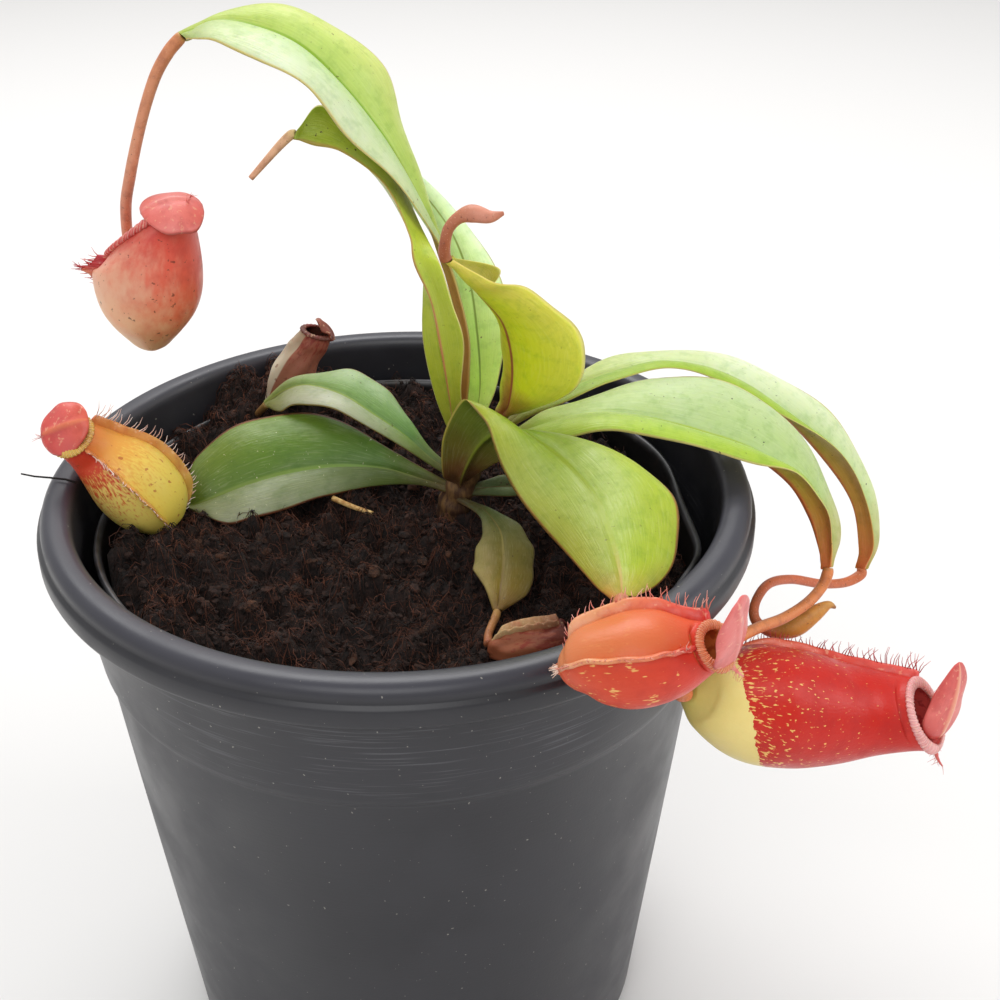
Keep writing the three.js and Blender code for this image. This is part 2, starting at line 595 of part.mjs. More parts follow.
// ---- tendrils: each runs on from a leaf tip; stations are [x, y, z, radius] -------------------------------
const TENDRILS = {
  tall: [[-35.7, 29, 176.4, 1.05], [-37.6, 29, 174.4, 1.05], [-40, 29, 170.8, 1], [-42.2, 28.4, 165.8, 0.95],
    [-44.4, 28.4, 159.8, 0.95], [-46.6, 29.6, 153.4, 1], [-49, 33, 146.2, 1], [-50.2, 36.4, 137, 1],
    [-49.4, 36.4, 128.2, 1], [-47.8, 33, 122.6, 1], [-46.4, 28.8, 121.8, 1.1]],
  upright: [[-17.8, 25.2, 161.8, 0.8], [-19.4, 25.2, 160.4, 0.75], [-21.4, 24.8, 158.4, 0.65], [-25, 24.4, 154.6, 0.5]],
  rear: [[-3.6, 39.4, 155.9, 0.7], [-5, 40, 158, 0.6], [-5.5, 40.5, 160.3, 0.5], [-5, 41, 162, 0.4]],
  young: [[8.7, -9.7, 154.4, 0.95], [8.9, -10.5, 156.7, 0.85], [9.5, -11, 159, 0.85], [11, -11.5, 160.8, 0.95],
    [13, -12, 161.6, 1.35], [15.5, -12.5, 161.3, 0.95], [17.5, -13, 162, 0.3]],
  right: [[73.4, -5.1, 94.2, 1], [72.4, -6.4, 92.4, 0.95], [69.5, -9.5, 91.2, 0.95], [64.7, -14, 91.2, 0.95],
    [59.5, -20, 93.6, 0.95], [54.6, -26, 95.6, 1], [49.4, -32, 97, 1], [45.6, -36.2, 95.6, 1.05],
    [45, -36.6, 93, 1.15], [45.9, -34.8, 91.5, 1.3]],
  far_right: [[84.7, 14.4, 81, 1], [81.5, 12.5, 80.6, 0.9], [76, 8.5, 83, 0.85], [69.5, 4, 87, 0.85],
    [64.4, -1, 89.4, 0.85], [61.6, -5, 88.4, 0.85], [61.2, -7.5, 86.6, 0.9], [63, -8.8, 85.2, 1],
    [65.2, -9, 85, 1.4], [68, -9, 86, 1.9], [71, -8.6, 88.2, 1.5], [73.4, -8.2, 89.8, 0.8], [74.8, -8, 89.2, 0.25]],
  front: [[34.4, -43, 114.4, 1.3], [33.6, -46, 114.6, 1], [32.2, -48.6, 114.2, 0.9], [30.4, -50.6, 113.2, 0.85],
    [28.2, -52.4, 112.1, 0.8], [26.4, -54.2, 111.6, 0.8], [25.2, -55.7, 112.2, 0.9]],
  left_low: [[-39.2, 6.8, 100.7, 0.5], [-39.3, 5.6, 100.6, 0.5], [-39.5, 4, 100.6, 0.5], [-39.4, 2.6, 100.6, 0.5]],
  back_left: [[-27, 29.8, 108.7, 0.75], [-28.2, 31.8, 106.8, 0.65], [-29.2, 34, 105, 0.65], [-28.9, 35.6, 104.3, 0.75],
    [-28.2, 36, 104.6, 0.85]],
  withered: [[16.4, -26.4, 100.5, 0.7], [15.8, -28.6, 100.4, 0.65], [15.2, -31, 100.1, 0.65], [15.2, -33.2, 99.9, 0.75]],
};
for (const [name, stations] of Object.entries(TENDRILS)) {
  const tip = LEAVES[name].stations.at(-1)[0];
  const start = v3(tip).lerp(v3(stations[0]), TENDRIL_GAP / v3(tip).distanceTo(v3(stations[0])));
  const run = [[start.x, start.y, start.z, stations[0][3]], ...stations.slice(1)];
  place(`tendril_${name}`, tube(run, Math.round(stations.length * 1.7)), TENDRIL_SKIN);
}

// ---- pitchers -----------------------------------------------------------------------------------------
const PITCHERS = {
  right: {
    look: PITCHER_RED, front: [0, -0.1, 1], tilt: 0.42, lip: 0.9, sides: 14, steps: 9,
    axis: [[46.7, -33.3, 90.6, 1.5], [48.4, -32.2, 89.6, 4], [51.3, -31, 87.8, 6.4], [57.9, -27, 83.5, 9.6],
      [65.2, -24, 80, 9.9], [72.6, -22, 77.8, 8.9], [79.6, -21.4, 77.3, 7.4], [85.2, -22, 77.5, 6.3], [88, -23.4, 78, 5.6]],
    wing: { angle: 0.673, height: 1.4, tooth: 1, teeth: 13, from: 0.3 },
    lid: { length: 16, width: 12.5, lift: 0.3, reach: -2, dome: 1.4, turn: -0.45 },
  },
  front: {
    look: PITCHER_RED, front: [0, -0.25, 0.97], tilt: 0.35, lip: 0.8,
    axis: [[25.5, -57.1, 113.4, 1.3], [27, -57.7, 114.2, 3.4], [29.4, -58, 115.1, 5.1], [34.5, -58.1, 115.5, 6.6],
      [40, -57.4, 116.1, 6], [44.2, -57.4, 117.4, 4.2], [45.8, -58.6, 118.2, 3.9]],
    wing: { angle: 0.785, height: 1.6, tooth: 1, teeth: 9, from: 0.12 },
    lid: { length: 12.6, width: 8.8, lift: 0.45, reach: -1.4, dome: 0.9, turn: 0 },
  },
  tall: {
    look: PITCHER_ORANGE, front: [-0.85, 0.5, 0], tilt: 0.62, lip: 0.8,
    axis: [[-46, 27.1, 122.9, 1.3], [-45.4, 25.2, 126.4, 4.6], [-44.8, 24, 131.8, 8.3], [-44.2, 23.6, 137.4, 9.4],
      [-43.6, 24, 142.6, 8.7], [-43.2, 24.2, 146.4, 7.4]],
    wing: { angle: 0.262, height: 1.2, tooth: 0.9, teeth: 5, from: 0.55 },
    lid: { length: 12.6, width: 13, lift: 0.1, reach: -3.4, dome: 2.8, turn: 0 },
  },
  left: {
    look: PITCHER_ORANGE, front: [0.713, -0.404, 0.76], tilt: 0.35, lip: 0.8,
    axis: [[-39.8, 0, 100.8, 1.4], [-40.6, 0, 102.3, 4.2], [-42.6, 0, 105.8, 6.6], [-46.4, 0, 110.8, 7],
      [-50.3, 0, 115.6, 5.4], [-53, 0, 119.2, 4.7]],
    wing: { angle: 0.785, height: 1.4, tooth: 1, teeth: 9, from: 0.2 },
    lid: { length: 12.6, width: 10.6, lift: 0.16, reach: -1.5, dome: 1, turn: 0 },
  },
  back_left: {
    look: PITCHER_DRY, front: [-1, -0.3, 0.4], tilt: 0.3, lip: 0.5, sides: 8, steps: 5,
    axis: [[-27.4, 36.1, 105.5, 1], [-26, 36.2, 107, 2.4], [-23, 37, 111.4, 3.9], [-20, 38, 116, 3.5],
      [-17.6, 38.6, 119.6, 2.9]],
    lid: { length: 5.4, width: 5, lift: 0.35, reach: -0.6, dome: 0.5, turn: 0 },
  },
  withered: {
    look: PITCHER_DRY, front: [0, 0.2, 1], tilt: 0.3, lip: 0.4, sides: 8, steps: 5,
    axis: [[15.6, -34, 99.9, 0.9], [16.8, -34.6, 100.2, 2.1], [20, -35, 100.8, 2.9], [24, -35, 101.8, 2.9],
      [27.4, -34.6, 103, 2.3]],
    wing: { angle: 0.393, height: 1.1, tooth: 0, teeth: 3, from: 0.15 },
    lid: { length: 4.4, width: 4, lift: 0.8, reach: -0.7, dome: 0.4, turn: 0 },
  },
};
for (const [name, spec] of Object.entries(PITCHERS)) {
  place(`pitcher_${name}`, toGeometry(pitcher(spec)), spec.look);
}

export default plant;
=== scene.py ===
import math
import random

import bpy
from mathutils import Matrix, Vector, noise


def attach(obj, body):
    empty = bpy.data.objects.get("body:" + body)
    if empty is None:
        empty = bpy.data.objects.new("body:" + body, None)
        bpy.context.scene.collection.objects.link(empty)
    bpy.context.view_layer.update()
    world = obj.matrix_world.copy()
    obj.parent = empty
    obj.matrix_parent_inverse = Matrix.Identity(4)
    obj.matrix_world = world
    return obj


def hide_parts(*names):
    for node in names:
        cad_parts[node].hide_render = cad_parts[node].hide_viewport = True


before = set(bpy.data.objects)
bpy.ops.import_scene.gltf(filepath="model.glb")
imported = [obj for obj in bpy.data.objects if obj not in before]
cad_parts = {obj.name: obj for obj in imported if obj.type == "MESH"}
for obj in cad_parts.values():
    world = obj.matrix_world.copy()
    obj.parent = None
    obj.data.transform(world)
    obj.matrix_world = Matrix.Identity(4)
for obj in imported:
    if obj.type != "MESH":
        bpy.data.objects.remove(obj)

bpy.ops.object.select_all(action="DESELECT")
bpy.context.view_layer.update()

# ---- Outer pot --------------------------------------------------------------------------------
# The plastic pot the plant stands in: charcoal polypropylene, injection moulded in one piece with
# a stepped shoulder and a turned-over rim. Handling has left fine rings of scratches and dust.
MM = 0.001
POT_SIDES = 160
POT_WALL = [
    (43.0, 0.25), (43.6, 0.8), (43.8, 1.6), (45.0, 13.6), (47.4, 37.0), (49.8, 60.6), (52.0, 83.2),
    (52.2, 83.9), (52.5, 84.4), (52.85, 85.0), (53.0, 85.8), (54.2, 95.0), (55.2, 103.2),
    (55.4, 103.9), (55.8, 104.3), (56.6, 104.4), (58.6, 104.4), (59.3, 104.5), (59.8, 104.9),
    (60.0, 105.5), (60.0, 107.7), (59.8, 108.2), (59.35, 108.5), (59.2, 108.8), (59.25, 109.5),
    (59.0, 110.3), (58.5, 110.9), (57.8, 111.3), (57.0, 111.4), (55.8, 111.4), (55.1, 111.2),
    (54.6, 110.7), (54.3, 110.0), (54.2, 109.2), (53.9, 105.0), (53.6, 101.0), (51.2, 86.2),
    (50.8, 84.0), (46.6, 44.0), (42.8, 6.2), (42.3, 4.6), (41.4, 4.0),
]


def srgb(code):
    """The linear colour of a #rrggbb code."""
    parts = [int(code[i:i + 2], 16) / 255 for i in (1, 3, 5)]
    return (*[c / 12.92 if c <= 0.04045 else ((c + 0.055) / 1.055) ** 2.4 for c in parts], 1.0)


def add(tree, kind, feeds, **settings):
    """One shader node. Each feed is a number, a colour code or another node's output."""
    node = tree.nodes.new("ShaderNode" + kind)
    for setting, value in settings.items():
        setattr(node, setting, value)
    for socket, value in feeds.items():
        if isinstance(value, bpy.types.NodeSocket):
            tree.links.new(value, node.inputs[socket])
        else:
            node.inputs[socket].default_value = srgb(value) if isinstance(value, str) else value
    return node


def calc(tree, operation, a, b=0.0, clamp=False):
    return add(tree, "Math", {0: a, 1: b}, operation=operation, use_clamp=clamp).outputs[0]


def times(tree, a, b, clamp=False):
    return calc(tree, "MULTIPLY", a, b, clamp)


def plus(tree, a, b, clamp=False):
    return calc(tree, "ADD", a, b, clamp)


def minus(tree, a, b):
    return calc(tree, "SUBTRACT", a, b)


def between(tree, value, low, high, start=0.0, end=1.0):
    """A soft step that goes from start at low to end at high."""
    feeds = {0: value, 1: low, 2: high, 3: start, 4: end}
    return add(tree, "MapRange", feeds, interpolation_type="SMOOTHSTEP").outputs[0]


def tint(tree, share, a, b, mode="MIX"):
    feeds = {0: share, 6: a, 7: b}
    return add(tree, "Mix", feeds, data_type="RGBA", blend_type=mode).outputs[2]


def grain(tree, where, scale, detail=3.0, rough=0.55):
    feeds = {"Vector": where, "Scale": scale, "Detail": detail, "Roughness": rough}
    return add(tree, "TexNoise", feeds).outputs[0]


def stretched(tree, where, scale, turn=(0.0, 0.0, 0.0)):
    return add(tree, "Mapping", {"Vector": where, "Scale": scale, "Rotation": turn}).outputs[0]


def stops(tree, value, ramp):
    """A colour ramp, written as places and colours in turn, such as "0 3d2418 0.5 5f4124"."""
    node = add(tree, "ValToRGB", {0: value})
    words, marks = ramp.split(), node.color_ramp.elements
    while len(marks) < len(words) // 2:
        marks.new(0.5)
    for mark, place, colour in zip(marks, words[::2], words[1::2]):
        mark.position = float(place)
        mark.color = srgb("#" + colour)
    return node.outputs[0]


def finish(name, roughness, coat=0.0):
    """A new material: its node tree, its main shader and the place on the piece, in metres."""
    skin = bpy.data.materials.new(name)
    skin.use_nodes = True
    shader = skin.node_tree.nodes["Principled BSDF"]
    shader.inputs["Roughness"].default_value = roughness
    shader.inputs["Coat Weight"].default_value = coat
    return skin, skin.node_tree, shader, add(skin.node_tree, "TexCoord", {}).outputs["Object"]


def surface(tree, shader, colour, height, depth_mm, strength=1.0, dullness=None):
    """Gives the shader its colour and a relief: a height pattern that is depth_mm deep."""
    feeds = {"Height": height, "Distance": depth_mm * MM, "Strength": strength}
    tree.links.new(add(tree, "Bump", feeds).outputs[0], shader.inputs["Normal"])
    tree.links.new(colour, shader.inputs["Base Color"])
    if dullness:
        tree.links.new(dullness, shader.inputs["Roughness"])


def fit(piece, skin, node=None):
    """Gives a finished piece its material and its body, and hides the model part it stands for."""
    piece.data.materials.clear()
    piece.data.materials.append(skin)
    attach(piece, "root")
    if node:
        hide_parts(node)
    piece.select_set(False)


bpy.ops.mesh.primitive_circle_add(vertices=POT_SIDES, radius=42 * MM, fill_type="NGON")
pot = bpy.context.object
pot.name = pot.data.name = "pot_shell"
bpy.ops.object.mode_set(mode="EDIT")
bpy.ops.mesh.select_all(action="SELECT")
radius, height = 42.0, 0.0
for next_radius, next_height in POT_WALL:
    rise = (0, 0, (next_height - height) * MM)
    bpy.ops.mesh.extrude_region_move(TRANSFORM_OT_translate={"value": rise})
    ratio = next_radius / radius
    bpy.ops.transform.resize(value=(ratio, ratio, 1), center_override=(0, 0, next_height * MM))
    radius, height = next_radius, next_height
bpy.ops.mesh.select_all(action="SELECT")
bpy.ops.mesh.normals_make_consistent(inside=False)
bpy.ops.object.mode_set(mode="OBJECT")
bpy.ops.object.shade_smooth_by_angle(angle=math.radians(50))

pot_plastic, t, shader, spot = finish("charcoal_plastic", 0.4)
level = add(t, "SeparateXYZ", {0: spot}).outputs[2]
rings = grain(t, stretched(t, spot, (60, 60, 2600)), 1.0, 2.0, 0.6)
BAND_FOOT, BAND_TOP, RIM_HIGHLIGHT_BAND = (0.083, 0.088), (0.104, 0.1), (0.1085, 0.1112)
shoulder = times(t, between(t, level, *BAND_FOOT), between(t, level, *BAND_TOP))
scratches = times(t, between(t, rings, 0.56, 0.72), shoulder)
bloom = grain(t, spot, 45.0, 4.0, 0.6)
dust = between(t, grain(t, spot, 1500.0, 1.0, 0.4), 0.765, 0.8)
# Painted highlight: the curved top of the rim is painted lighter, a painted reflection of the bright
# surroundings.
rim_highlight = between(t, level, *RIM_HIGHLIGHT_BAND)
colour = tint(t, between(t, bloom, 0.3, 0.7), "#25252a", "#303035")
colour = tint(t, times(t, rim_highlight, 0.55), colour, "#43434d")
colour = tint(t, times(t, scratches, 0.35), colour, "#77777c")
colour = tint(t, times(t, dust, 0.55), colour, "#a9a59c")
dull = plus(t, between(t, bloom, 0.35, 0.7, 0.34, 0.5), times(t, scratches, 0.12))
fine = plus(t, grain(t, spot, 2400.0, 2.0), times(t, rings, 0.8))
surface(t, shader, colour, fine, 0.02, 0.6, dull)
fit(pot, pot_plastic, "outer_pot")

# ---- Liner pot --------------------------------------------------------------------------------
# The nursery pot inside: thin black film plastic, vacuum formed. Its lip has gone out of round and
# is pushed in on the right, with a kink where it folds. It stands loose in the outer pot.
LINER_BASE, LINER_LIP = 4.3, 104.0
LINER_RADIUS, LINER_TAPER, LINER_WAVE = 40.4, 10.6, 0.25
LINER_DENTS = [(-2.3, 5, 15), (0.9, -14, 7), (0.6, -166, 16)]  # mm deep, at and half width in degrees


def bump(x, width):
    return math.exp(-(x / width) ** 2)


def ease(low, high, x):
    x = min(max((x - low) / (high - low), 0.0), 1.0)
    return x * x * (3 - 2 * x)


def liner_radius(angle, z):
    rise = (z - LINER_BASE) / (LINER_LIP - LINER_BASE)
    turn = math.atan2(math.sin(angle), math.cos(angle))
    dent = sum(d * bump(turn - math.radians(at), math.radians(w)) for d, at, w in LINER_DENTS)
    dent += LINER_WAVE * math.sin(angle * 3 + 1)
    return LINER_RADIUS + LINER_TAPER * rise + dent * ease(0.6, 1, rise)


def rolled(name, around, along, place):
    """A closed skin: a grid whose U is rolled round the piece while its V runs along it."""
    bpy.ops.mesh.primitive_grid_add(x_subdivisions=around, y_subdivisions=along, size=2)
    piece = bpy.context.object
    piece.name = piece.data.name = name
    for vertex in piece.data.vertices:
        vertex.co = place((vertex.co.x + 1) / 2, (vertex.co.y + 1) / 2) * MM
    bpy.ops.object.mode_set(mode="EDIT")
    bpy.ops.mesh.select_all(action="SELECT")
    bpy.ops.mesh.remove_doubles(threshold=1e-6)
    bpy.ops.mesh.normals_make_consistent(inside=False)
    bpy.ops.object.mode_set(mode="OBJECT")
    bpy.ops.object.shade_smooth()
    return piece


LINER_WALL_RUN = [
    (0, LINER_BASE), (-0.6, LINER_BASE), (-0.1, LINER_BASE + 0.5), (0, LINER_BASE + 1.4), (0, 40), (0, 70),
    (0, 86), (0, 96), (0, 101.6), (0.12, 102.2), (0.35, 102.6), (0.35, 103.3), (0.2, LINER_LIP - 0.2),
    (-0.1, LINER_LIP), (-0.45, LINER_LIP), (-0.7, LINER_LIP - 0.3), (-0.85, 103.2), (-0.9, 102.4),
    (-0.9, 96), (-0.9, 86), (-0.9, 70), (-0.9, 30), (-0.9, LINER_BASE + 0.9), (0, LINER_BASE + 0.9),
]


def liner_place(u, v):
    row = round(v * (len(LINER_WALL_RUN) - 1))
    inset, z = LINER_WALL_RUN[row]
    angle = u * 2 * math.pi
    r = liner_radius(angle, z) + inset
    if row in (0, len(LINER_WALL_RUN) - 1):
        r = 0
    return Vector((r * math.cos(angle), r * math.sin(angle), z))


liner = rolled("liner_shell", 200, len(LINER_WALL_RUN) - 1, liner_place)
liner_plastic, t, shader, spot = finish("thin_black_plastic", 0.36)
level = add(t, "SeparateXYZ", {0: spot}).outputs[2]
LIP_HIGHLIGHT_BAND = (0.1026, 0.1035)
# Painted highlight: a lighter band along the lip, broken into patches by noise.
edge = times(t, between(t, level, *LIP_HIGHLIGHT_BAND), between(t, grain(t, spot, 70.0), 0.4, 0.62))
smears = between(t, grain(t, spot, 160.0, 4.0, 0.65), 0.56, 0.74)
colour = tint(t, times(t, edge, 0.6), "#121213", "#5c5c60")
colour = tint(t, times(t, smears, 0.3), colour, "#4a3a30")
surface(t, shader, colour, grain(t, spot, 900.0, 3.0), 0.03, 0.5)
fit(liner, liner_plastic, "liner_pot")

# ---- Potting mix ------------------------------------------------------------------------------
# Coarse coir and bark, poured in and settled: one lumpy bed, with loose crumbs, chips of bark and
# reddish coir fibres on top. It is heaped against the liner at the back left.
SOIL_LEVEL, SOIL_BOTTOM = 98.4, 5.5
HEAPS = [  # x, y, spread and height in mm
    (-30, 42, 15, 5.5), (2, 48, 18, 3.5), (-46, -12, 9, 2.5), (26, 34, 16, 1.5),
    (10, -44, 22, -1.8), (36, -22, 14, -1), (-22, 12, 12, -1.2), (12, -20, 11, -0.6),
]


def soil_height(x, y):
    lumps = 0.9 * math.sin(x * 0.31 + 1.3) * math.cos(y * 0.27 - 0.4)
    lumps += 0.6 * math.sin(x * 0.62 - y * 0.41) + 0.4 * math.cos(x * 0.9 + y * 0.77 + 2)
    return SOIL_LEVEL + lumps + sum(h * bump(math.hypot(x - cx, y - cy), w) for cx, cy, w, h in HEAPS)


MOUNDS = [
    (-31, -4, 7, 4.2), (-42, -11, 7, 4), (-33, -19, 8, 2.4), (-21, -11, 7, 1.6), (-20, -33, 8, 1.8),
    (3, -27, 6, 1.6), (-8, -16, 5, 1.4), (-36, -28, 6, 2.6),
]
BANK_TURN, BANK_WIDTH, BANK_RISE = math.radians(126), math.radians(30), 5.2
BED_RINGS, CLOD_RISE, GRIT_RISE = 78, 6.5, 1.1


def bed_height(x, y):
    grit = noise.fractal(Vector((x * 0.3, y * 0.3, 3.1)), 0.8, 2.3, 5)
    mound = sum(h * bump(math.hypot(x - cx, y - cy), w) for cx, cy, w, h in MOUNDS)
    clods = noise.turbulence(Vector((x * 0.15, y * 0.15, 1.7)), 3, True) - 0.6
    bank = BANK_RISE * bump(math.atan2(y, x) - BANK_TURN, BANK_WIDTH) * ease(36, 50, math.hypot(x, y))
    return soil_height(x, y) + GRIT_RISE * grit + CLOD_RISE * clods + mound + bank


def bed_place(u, v):
    angle = u * 2 * math.pi
    row = round(v * (BED_RINGS + 3))
    if row <= 2:
        z, inset = [(SOIL_BOTTOM, 99), (SOIL_BOTTOM, 1.6), (60, 1.3)][row]
        r = max(0, liner_radius(angle, z) - inset)
        return Vector((r * math.cos(angle), r * math.sin(angle), z))
    r = (liner_radius(angle, SOIL_LEVEL) - 1.25) * (1 - (row - 3) / BED_RINGS)
    x, y = r * math.cos(angle), r * math.sin(angle)
    return Vector((x, y, bed_height(x, y)))


bed = rolled("mix_bed", 200, BED_RINGS + 3, bed_place)
SPILL_ARC, SPILL_RADIUS, SPILL_HALF = math.radians(84), 49.8, 4.1
SPILL_FLOOR, SPILL_CEILING = 98.0, 110.0


def spill_place(u, v):
    """Mix banked against the outer pot at the back left, over the liner's lip."""
    angle, at_end = BANK_TURN + (v - 0.5) * SPILL_ARC, v in (0, 1)
    r = SPILL_RADIUS - SPILL_HALF * math.cos(u * 2 * math.pi) * (not at_end)
    x, y = r * math.cos(angle), r * math.sin(angle)
    top = bed_height(x, y) if u <= 0.5 and not at_end else SPILL_FLOOR
    return Vector((x, y, min(top, SPILL_CEILING)))


spill = rolled("mix_spill", 40, 130, spill_place)


def mix_finish(name, dark, light, red, size):
    skin, t, shader, spot = finish(name, 0.92)
    lumps = grain(t, spot, size, 6.0, 0.68)
    flecks = between(t, grain(t, spot, size * 5, 3.0, 0.6), 0.58, 0.68)
    # Painted shade: broad dark patches stand in for the shadows between the clods.
    painted_shade = between(t, grain(t, spot, 60.0, 2.0), 0.35, 0.65)
    colour = tint(t, between(t, lumps, 0.35, 0.68), dark, light)
    colour = tint(t, times(t, flecks, 0.6), colour, red)
    colour = tint(t, times(t, painted_shade, 0.45), colour, "#120a08")
    surface(t, shader, colour, plus(t, lumps, times(t, flecks, 0.5)), 0.7)
    return skin


coir = mix_finish("damp_coir", "#080404", "#35211a", "#6b402e", 620.0)
fit(bed, coir, "potting_mix")
fit(spill, coir)

LINER_CLEAR, STEM_CLEAR, STEM_FOOT = 2.4, 4.2, (8.6, 11)
MIX_REACH, BANK_SPREAD, BANK_HALF = 52, 5.6, math.radians(38)


def mix_edge(x, y):
    """How far out the mix reaches: to the liner, or to the outer pot where it is banked up."""
    angle = math.atan2(y, x)
    return liner_radius(angle, SOIL_LEVEL) + BANK_SPREAD * (abs(angle - BANK_TURN) < BANK_HALF)


def on_mix(chance, edge=LINER_CLEAR):
    """A random place on the bed, clear of the liner and of the stem."""
    while True:
        x, y = chance.uniform(-MIX_REACH, MIX_REACH), chance.uniform(-MIX_REACH, MIX_REACH)
        if math.hypot(x, y) > mix_edge(x, y) - edge:
            continue
        if math.dist((x, y), STEM_FOOT) > STEM_CLEAR:
            return x, y


def built(name, corners, faces):
    """A new piece from its corners and faces."""
    mesh = bpy.data.meshes.new(name)
    mesh.from_pydata(corners, [], faces)
    piece = bpy.data.objects.new(name, mesh)
    bpy.context.collection.objects.link(piece)
    return piece


def scattered(name, shape, count, size, seed, sink, flat=0.7):
    """One piece made of many copies of a small shape, turned and scaled at random on the bed."""
    chance = random.Random(seed)
    corners, faces = [], []
    for _ in range(count):
        x, y = on_mix(chance)
        s = chance.uniform(*size) * chance.uniform(0.6, 1.0)
        turn = Matrix.Rotation(chance.uniform(0, 6.28), 3, "Z")
        turn = turn @ Matrix.Rotation(chance.uniform(-0.7, 0.7), 3, "X")
        scale = Vector([s * chance.uniform(*span) for span in ((0.7, 1.5), (0.6, 1.0), (0.4, flat))])
        middle = Vector((x, y, bed_height(x, y) + s * sink))
        start = len(corners)
        for vertex in shape.vertices:
            co = vertex.co * (1 + 0.3 * noise.noise(vertex.co * 2 + middle))
            corners.append((middle + turn @ (co * scale)) * MM)
        faces.extend([start + i for i in face.vertices] for face in shape.polygons)
    return built(name, corners, faces)


CRUMB_COLOURS, BARK_COLOURS = ("#150c0a", "#4a2c20", "#80503a"), ("#1c110c", "#6a4028", "#a06a44")
for name, detail, strewn, skin in [
    ("mix_crumbs", 1, (5600, (0.2, 1.15), 11, 0.35), ("coir_crumbs", *CRUMB_COLOURS, 900.0)),
    ("bark_chips", 2, (120, (0.7, 1.8), 12, 0.1, 0.6), ("bark", *BARK_COLOURS, 600.0)),
]:
    bpy.ops.mesh.primitive_ico_sphere_add(subdivisions=detail, radius=1)
    lump = bpy.context.object
    fit(scattered(name, lump.data, *strewn), mix_finish(*skin))
    bpy.data.objects.remove(lump)


def strands(name, runs, sides=3):
    """One piece of thin tapered strands. Each run is (points in mm, radius at the root, at the tip)."""
    corners, faces = [], []
    for points, root, tip in runs:
        side = Vector((0.37, 0.61, 0.7))
        start = len(corners)
        count = len(points)
        for i, p in enumerate(points):
            tangent = (points[min(i + 1, count - 1)] - points[max(i - 1, 0)]).normalized()
            side = (side - tangent * side.dot(tangent)).normalized()
            across = tangent.cross(side)
            r = root + (tip - root) * i / (count - 1)
            for k in range(sides):
                turn = k / sides * 2 * math.pi
                corners.append((p + (side * math.cos(turn) + across * math.sin(turn)) * r) * MM)
        for i in range(count - 1):
            for k in range(sides):
                a, b = start + i * sides + k, start + i * sides + (k + 1) % sides
                faces.append((a, b, b + sides, a + sides))
        faces.append([start + k for k in reversed(range(sides))])
        faces.append([start + (count - 1) * sides + k for k in range(sides)])
    piece = built(name, corners, faces)
    piece.data.shade_smooth()
    return piece


def loose_fibres(name, count, seed, steps, bends, sizes, top):
    """Curled fibres strewn over the bed, from lying flat to standing proud of it."""
    chance = random.Random(seed)
    runs = []
    for _ in range(count):
        x, y = on_mix(chance, 1.8)
        heading, lift = chance.uniform(0, 6.28), chance.uniform(-0.05, 0.8)
        step, bend = chance.uniform(*steps), chance.uniform(-bends, bends)
        points = []
        rise = chance.uniform(0.0, top)
        for k in range(5):
            if math.hypot(x, y) > mix_edge(x, y) - 1.2:
                break
            arch = math.sin(k / 4 * math.pi) * lift * step * 2.2
            points.append(Vector((x, y, bed_height(x, y) + rise + arch)))
            heading += bend + chance.uniform(-0.3, 0.3)
            x, y = x + step * math.cos(heading), y + step * math.sin(heading)
        if len(points) > 2:
            size = chance.uniform(*sizes)
            runs.append((points, size, size * 0.6))
    return strands(name, runs)


fit(loose_fibres("coir_fibres", 6500, 13, (0.35, 1.2), 0.8, (0.04, 0.1), 1.1),
    mix_finish("coir_fibre", "#2c1710", "#7a452f", "#bd7c5a", 300.0))
OVERHANG = [
    (-63.4, -2, 112.3), (-61, -2.7, 112.2), (-58.5, -2.6, 111.9), (-55.6, -3.2, 111.9),
    (-53.9, -3.3, 111.3),
]
fit(strands("black_fibre", [([Vector(p) for p in OVERHANG], 0.14, 0.2)], 6),
    mix_finish("black_coir", "#0a0808", "#1a1413", "#2c211d", 300.0))
fit(loose_fibres("coir_fluff", 6500, 14, (0.2, 0.6), 1.1, (0.05, 0.14), 1.3),
    mix_finish("dark_coir_fibre", "#140b09", "#3a231b", "#5f3a2c", 300.0))

# ---- Stem -------------------------------------------------------------------------------------
# The short woody stem, standing in the mix and leaning to the right. Brown bark below, greener
# towards the top, ringed by the scars of old leaf bases.
STEM = [
    (8, 11, 92, 3), (8.6, 11, 98, 2.9), (10.5, 10.6, 104, 2.6), (13, 10.2, 110, 2.3),
    (15.6, 9.8, 115, 1.9), (16.6, 9.6, 117, 1.5),
]


def rail(points):
    """A smooth curve through points, read by station number."""
    run = [2 * points[0] - points[1], *points, 2 * points[-1] - points[-2]]

    def read(s):
        i = min(max(int(s), 0), len(points) - 2)
        t = s - i
        a, b, c, d = run[i:i + 4]
        return b + 0.5 * t * ((c - a) + t * ((2 * a - 5 * b + 4 * c - d) + t * (3 * (b - c) + d - a)))
    return read


def carried(stations, steps, front):
    """Frames along a path, carried on without twist: (place, tangent, side, across, radius)."""
    last = len(stations) - 1
    centre = rail([Vector(s[:3]) for s in stations])
    girth = rail([s[3] for s in stations])
    side = Vector(front)
    frames = []
    for i in range(steps + 1):
        s = i / steps * last
        tangent = (centre(min(s + 0.02, last)) - centre(max(s - 0.02, 0))).normalized()
        side = (side - tangent * side.dot(tangent)).normalized()
        frames.append((centre(s), tangent, side, tangent.cross(side), girth(s)))
    return frames


